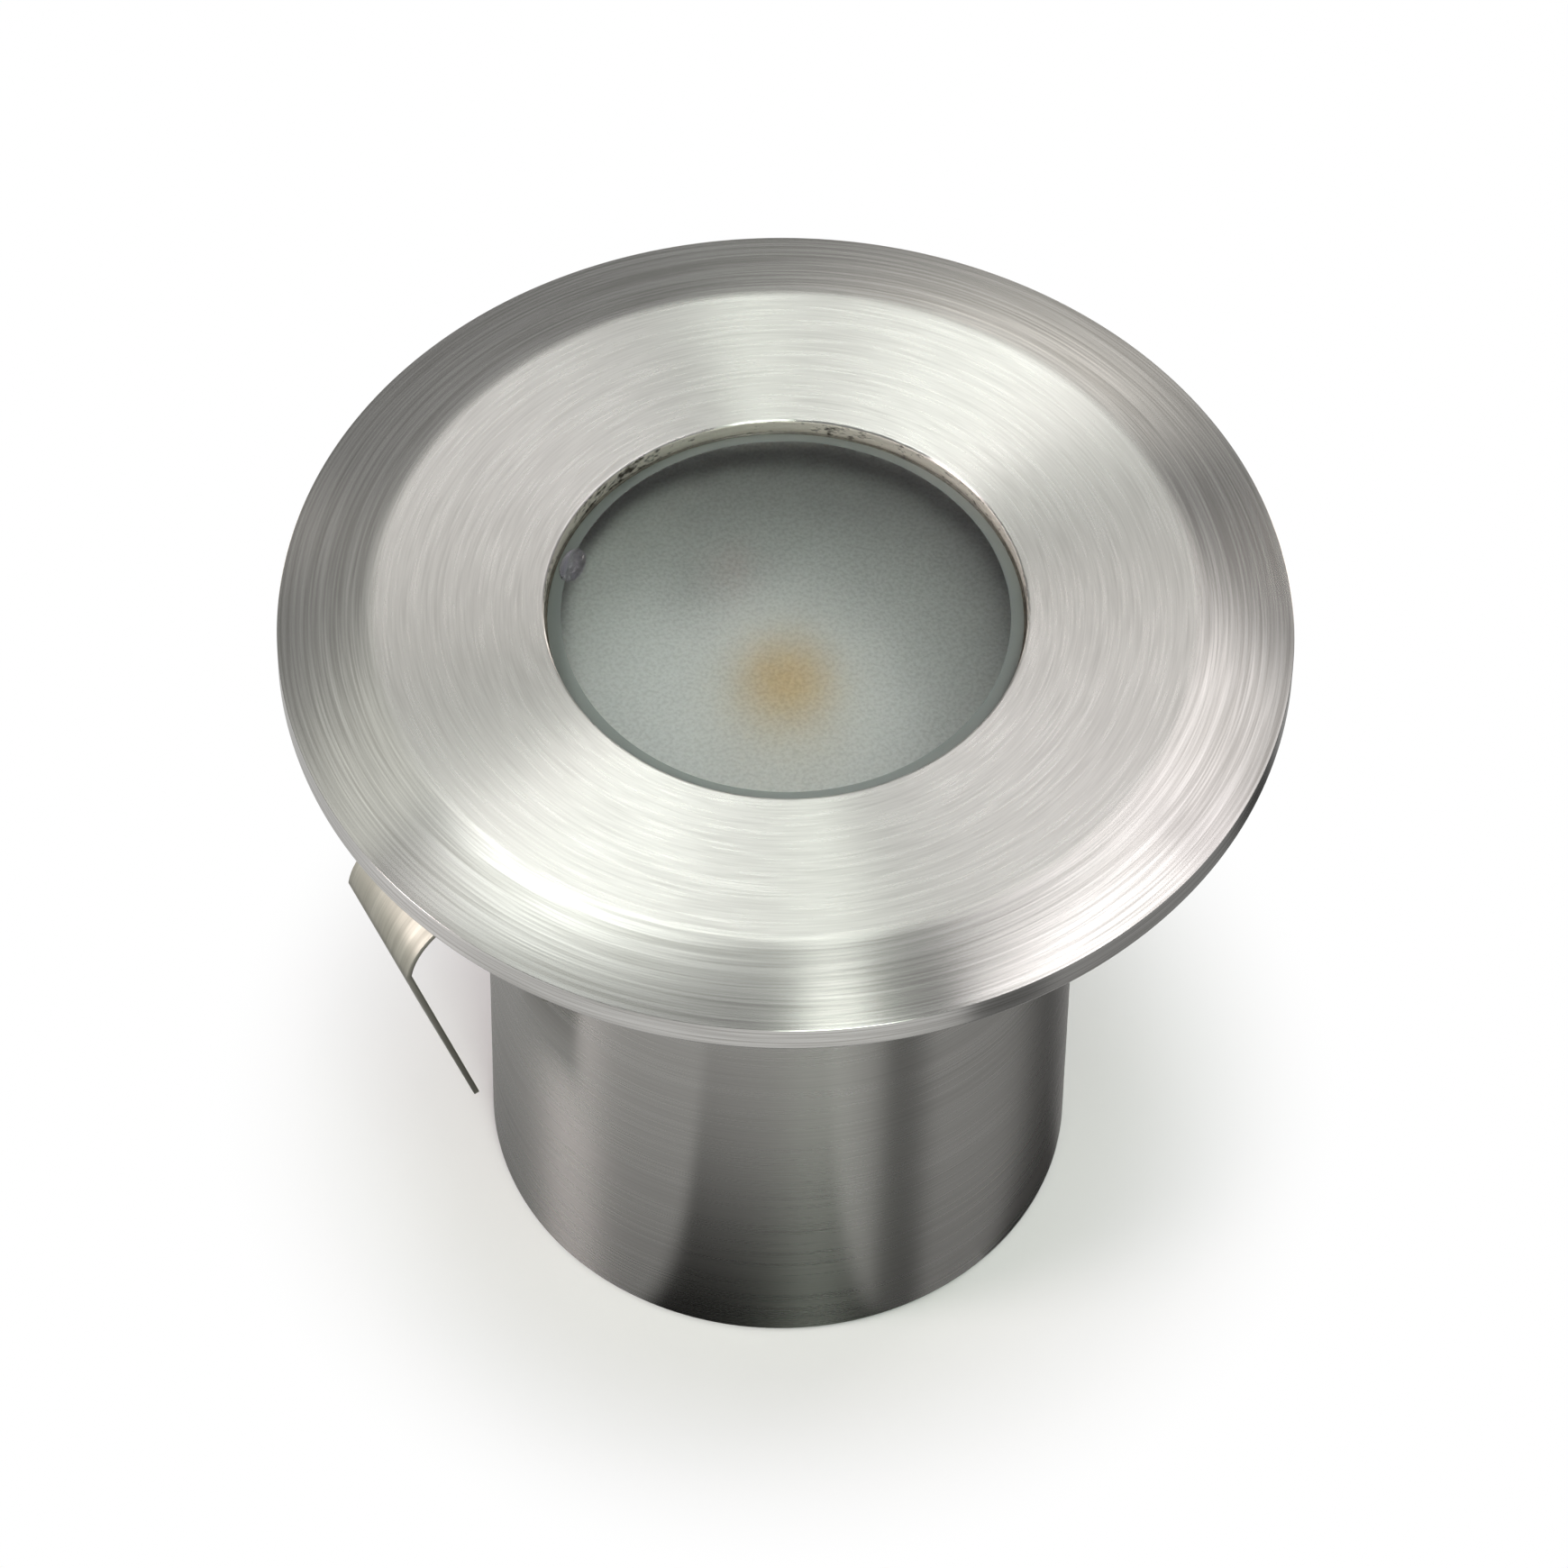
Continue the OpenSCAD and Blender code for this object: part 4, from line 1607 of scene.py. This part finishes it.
@dataclass
class Studio:
    """Floor, lamps, world and camera."""

    floor_size: float = 6.0
    floor_paint: str = "#F6F4F5"
    # Between these distances the floor turns from paint, which takes shadows, to plain white
    shadow_reach: Point = (18.5, 36.0)
    # Painted shade that the metal mirrors of the floor, darker near the foot: distance from the
    # axis, and level
    shade: tuple[Point, ...] = ((18.0, 0.24), (40.0, 0.42), (70.0, 0.68), (160.0, 0.95))
    # Painted dark streaks and sheets that only the metal mirrors in the floor
    painted_reflection_shades: tuple[PaintedShadeStreak | Screen, ...] = (
        PaintedShadeStreak(267.5, 7.7, 13.0, (8.0, 22.0), 1.0),
        PaintedShadeStreak(294.0, 1.6, 8.0, (60.0, 140.0), 0.66),
        PaintedShadeStreak(331.0, 2.4, 9.0, (60.0, 140.0), 0.9),
        Screen(-10.0, 38.0, 52.0, 0.42),
    )
    lens: float = 200.97
    sensor: float = 36.0
    elevation: float = 51.303
    distance: float = 517.83
    aim: float = 46.0
    yaw: float = -0.0001
    pitch: float = -0.01646
    roll: float = 0.01636
    # The dim walls, and what the metal mirrors at the horizon: height of its fade, and level
    walls: float = 0.2
    horizon: Point = (0.03, 0.9)
    softboxes: tuple[Softbox, ...] = (
        Softbox(198.4, 15.7, 32.2, 9.9, -71.9, 0.30, 7.65, (1, 0.914, 0.93)),
        Softbox(284.8, 45.7, 28.9, 8.9, 87.8, 0.30, 6.71, (0.902, 1, 0.897)),
        Softbox(20.3, 67.7, 5.1, 13.1, 49.3, 0.30, 3.50, (1, 0.968, 0.983)),
        Softbox(103.0, 63.4, 10.1, 5.5, 34.2, 1.50, 4.20, (0.95, 1, 0.957)),
        Softbox(63.6, 53.2, 14.1, 8.9, 16.5, 0.30, 1.14, (1, 0.952, 0.956)),
        Softbox(79.3, 31.4, 7.4, 5.0, 0.3, 1.60, 1.48, (1, 0.953, 0.902)),
        Softbox(131.8, 11.9, 7.6, 5.3, -46.0, 1.56, 2.70, (1, 0.936, 0.878)),
        Softbox(52.2, 2.1, 5.3, 18.4, 209.3, 0.30, 6.29, (1, 0.921, 0.858)),
        Softbox(22.2, 51.1, 5.0, 9.8, -70.0, 1.59, 1.67, (1, 0.938, 0.979)),
        Softbox(127.0, 53.1, 5.0, 22.3, 97.8, 0.30, 0.59, (0.983, 1, 0.919)),
        Softbox(55.0, 83.5, 2.5, 2.5, 0.0, 0.30, 3.3, (0.98, 1, 0.97)),
    )

    def floor(self) -> None:
        """Lays a plain pale floor that turns to plain white away from the light."""
        deselect_all()
        bpy.ops.mesh.primitive_plane_add(size=self.floor_size, location=(0, 0, 0))
        plane = bpy.context.object
        plane.name = "floor"
        material, nodes = new_material("pale_floor")
        place = nodes.place()
        radius = nodes.vector("LENGTH", place)
        paint = nodes.add("BsdfDiffuse", {"Color": linear(self.floor_paint)})
        white = nodes.add("Emission", {"Color": WHITE, "Strength": 1.0})
        ray = nodes.add("LightPath").outputs
        near, far = self.shadow_reach
        away = nodes.ramp(radius, near * MM, far * MM, soft=True)
        seen = nodes.mix_shaders(nodes.math("MULTIPLY", away, ray["Is Camera Ray"]), paint, white)
        # What metal and glass mirror of the floor is painted shade, not the lit paint
        mirrored = nodes.add("Emission", {"Strength": self.mirrored_floor(nodes, place, radius)})
        glossy = nodes.math("ADD", ray["Is Glossy Ray"], ray["Is Transmission Ray"], use_clamp=True)
        nodes.close(nodes.mix_shaders(glossy, seen, mirrored))
        plane.data.materials.append(material)

    def mirrored_floor(self, nodes: Nodes, place: Socket, radius: Socket) -> Socket:
        """Paints the shade and dark streaks that the metal mirrors of the floor.

        Args:
            nodes: The floor's nodes.
            place: The place on the floor.
            radius: Its distance from the axis.

        Returns:
            The floor's brightness.
        """
        level = self.shade[0][1]
        for (near, low), (far, high) in pairwise(self.shade):
            step = nodes.ramp(radius, near * MM, far * MM, 0.0, high - low)
            level = nodes.math("ADD", step, level)
        for painted_shade in self.painted_reflection_shades:
            level = nodes.math("MULTIPLY", level, painted_shade.build(nodes, place))
        return level

    def world(self) -> None:
        """Paints the room: dim walls with soft lamps on them, and white behind for the camera."""
        world = bpy.data.worlds.new("studio")
        bpy.context.scene.world = world
        world.use_nodes = True
        nodes = Nodes(world.node_tree)
        way = nodes.add("TexCoord").outputs["Generated"]
        height = nodes.add("SeparateXYZ", {0: way}).outputs["Z"]
        light = (self.walls,) * 3
        for softbox in self.softboxes:
            light = nodes.vector("ADD", light, softbox.build(nodes, way))
        room = nodes.add("Background", {"Color": light, "Strength": 1.0})
        white = nodes.add("Background", {"Color": WHITE, "Strength": 1.0})
        ray = nodes.add("LightPath").outputs
        fade, level = self.horizon
        low = nodes.ramp(height, fade, 0.0, 0.0, level)
        mirrored = nodes.math("ADD", ray["Is Glossy Ray"], ray["Is Transmission Ray"])
        share = nodes.math("MULTIPLY_ADD", mirrored, low, ray["Is Camera Ray"], use_clamp=True)
        nodes.add("OutputWorld", {"Surface": nodes.mix_shaders(share, room, white).outputs[0]})

    def camera(self) -> None:
        """Stands the camera where the photograph was taken."""
        data = bpy.data.cameras.new("photo_camera")
        data.lens, data.sensor_width = self.lens, self.sensor
        data.clip_start, data.clip_end = 0.01, 20.0
        camera = bpy.data.objects.new("photo_camera", data)
        bpy.context.scene.collection.objects.link(camera)
        back = towards(-90.0, self.elevation)
        right = towards(0.0, 0.0)
        turn = Matrix((right, back.cross(right), back)).transposed().to_4x4()
        place = Vector((0, 0, self.aim)) + back * self.distance
        camera.matrix_world = Matrix.Translation(place * MM) @ turn
        for angle, axis in ((self.yaw, "Y"), (self.pitch, "X"), (self.roll, "Z")):
            camera.matrix_world = camera.matrix_world @ Matrix.Rotation(angle, 4, axis)
        bpy.context.scene.camera = camera

    def build(self) -> None:
        """Sets the studio up round the object."""
        self.camera()
        self.floor()
        self.world()
        bpy.context.scene.view_settings.view_transform = "Standard"
        log.info("studio: floor, %d softboxes and camera", len(self.softboxes))


def main() -> None:
    """Builds the studio and the pieces."""
    logging.basicConfig(level=logging.INFO, format="%(name)s %(message)s")
    Studio().build()
    stock = {slot: finish.build() for slot, finish in STOCK.items()}
    stock["led_reflector"] = LED_REFLECTOR.build()
    stock["lens_gasket"] = GREY_GASKET.build()
    Housing().build()
    Window().build()
    Gland().build(stock)
    clip_steel = CLIP_STEEL.build()
    for side in Side:
        Clip(side).build(clip_steel, stock["rivet_steel"])
    dress_cad_nodes(stock)


if __name__ == "__main__":
    main()
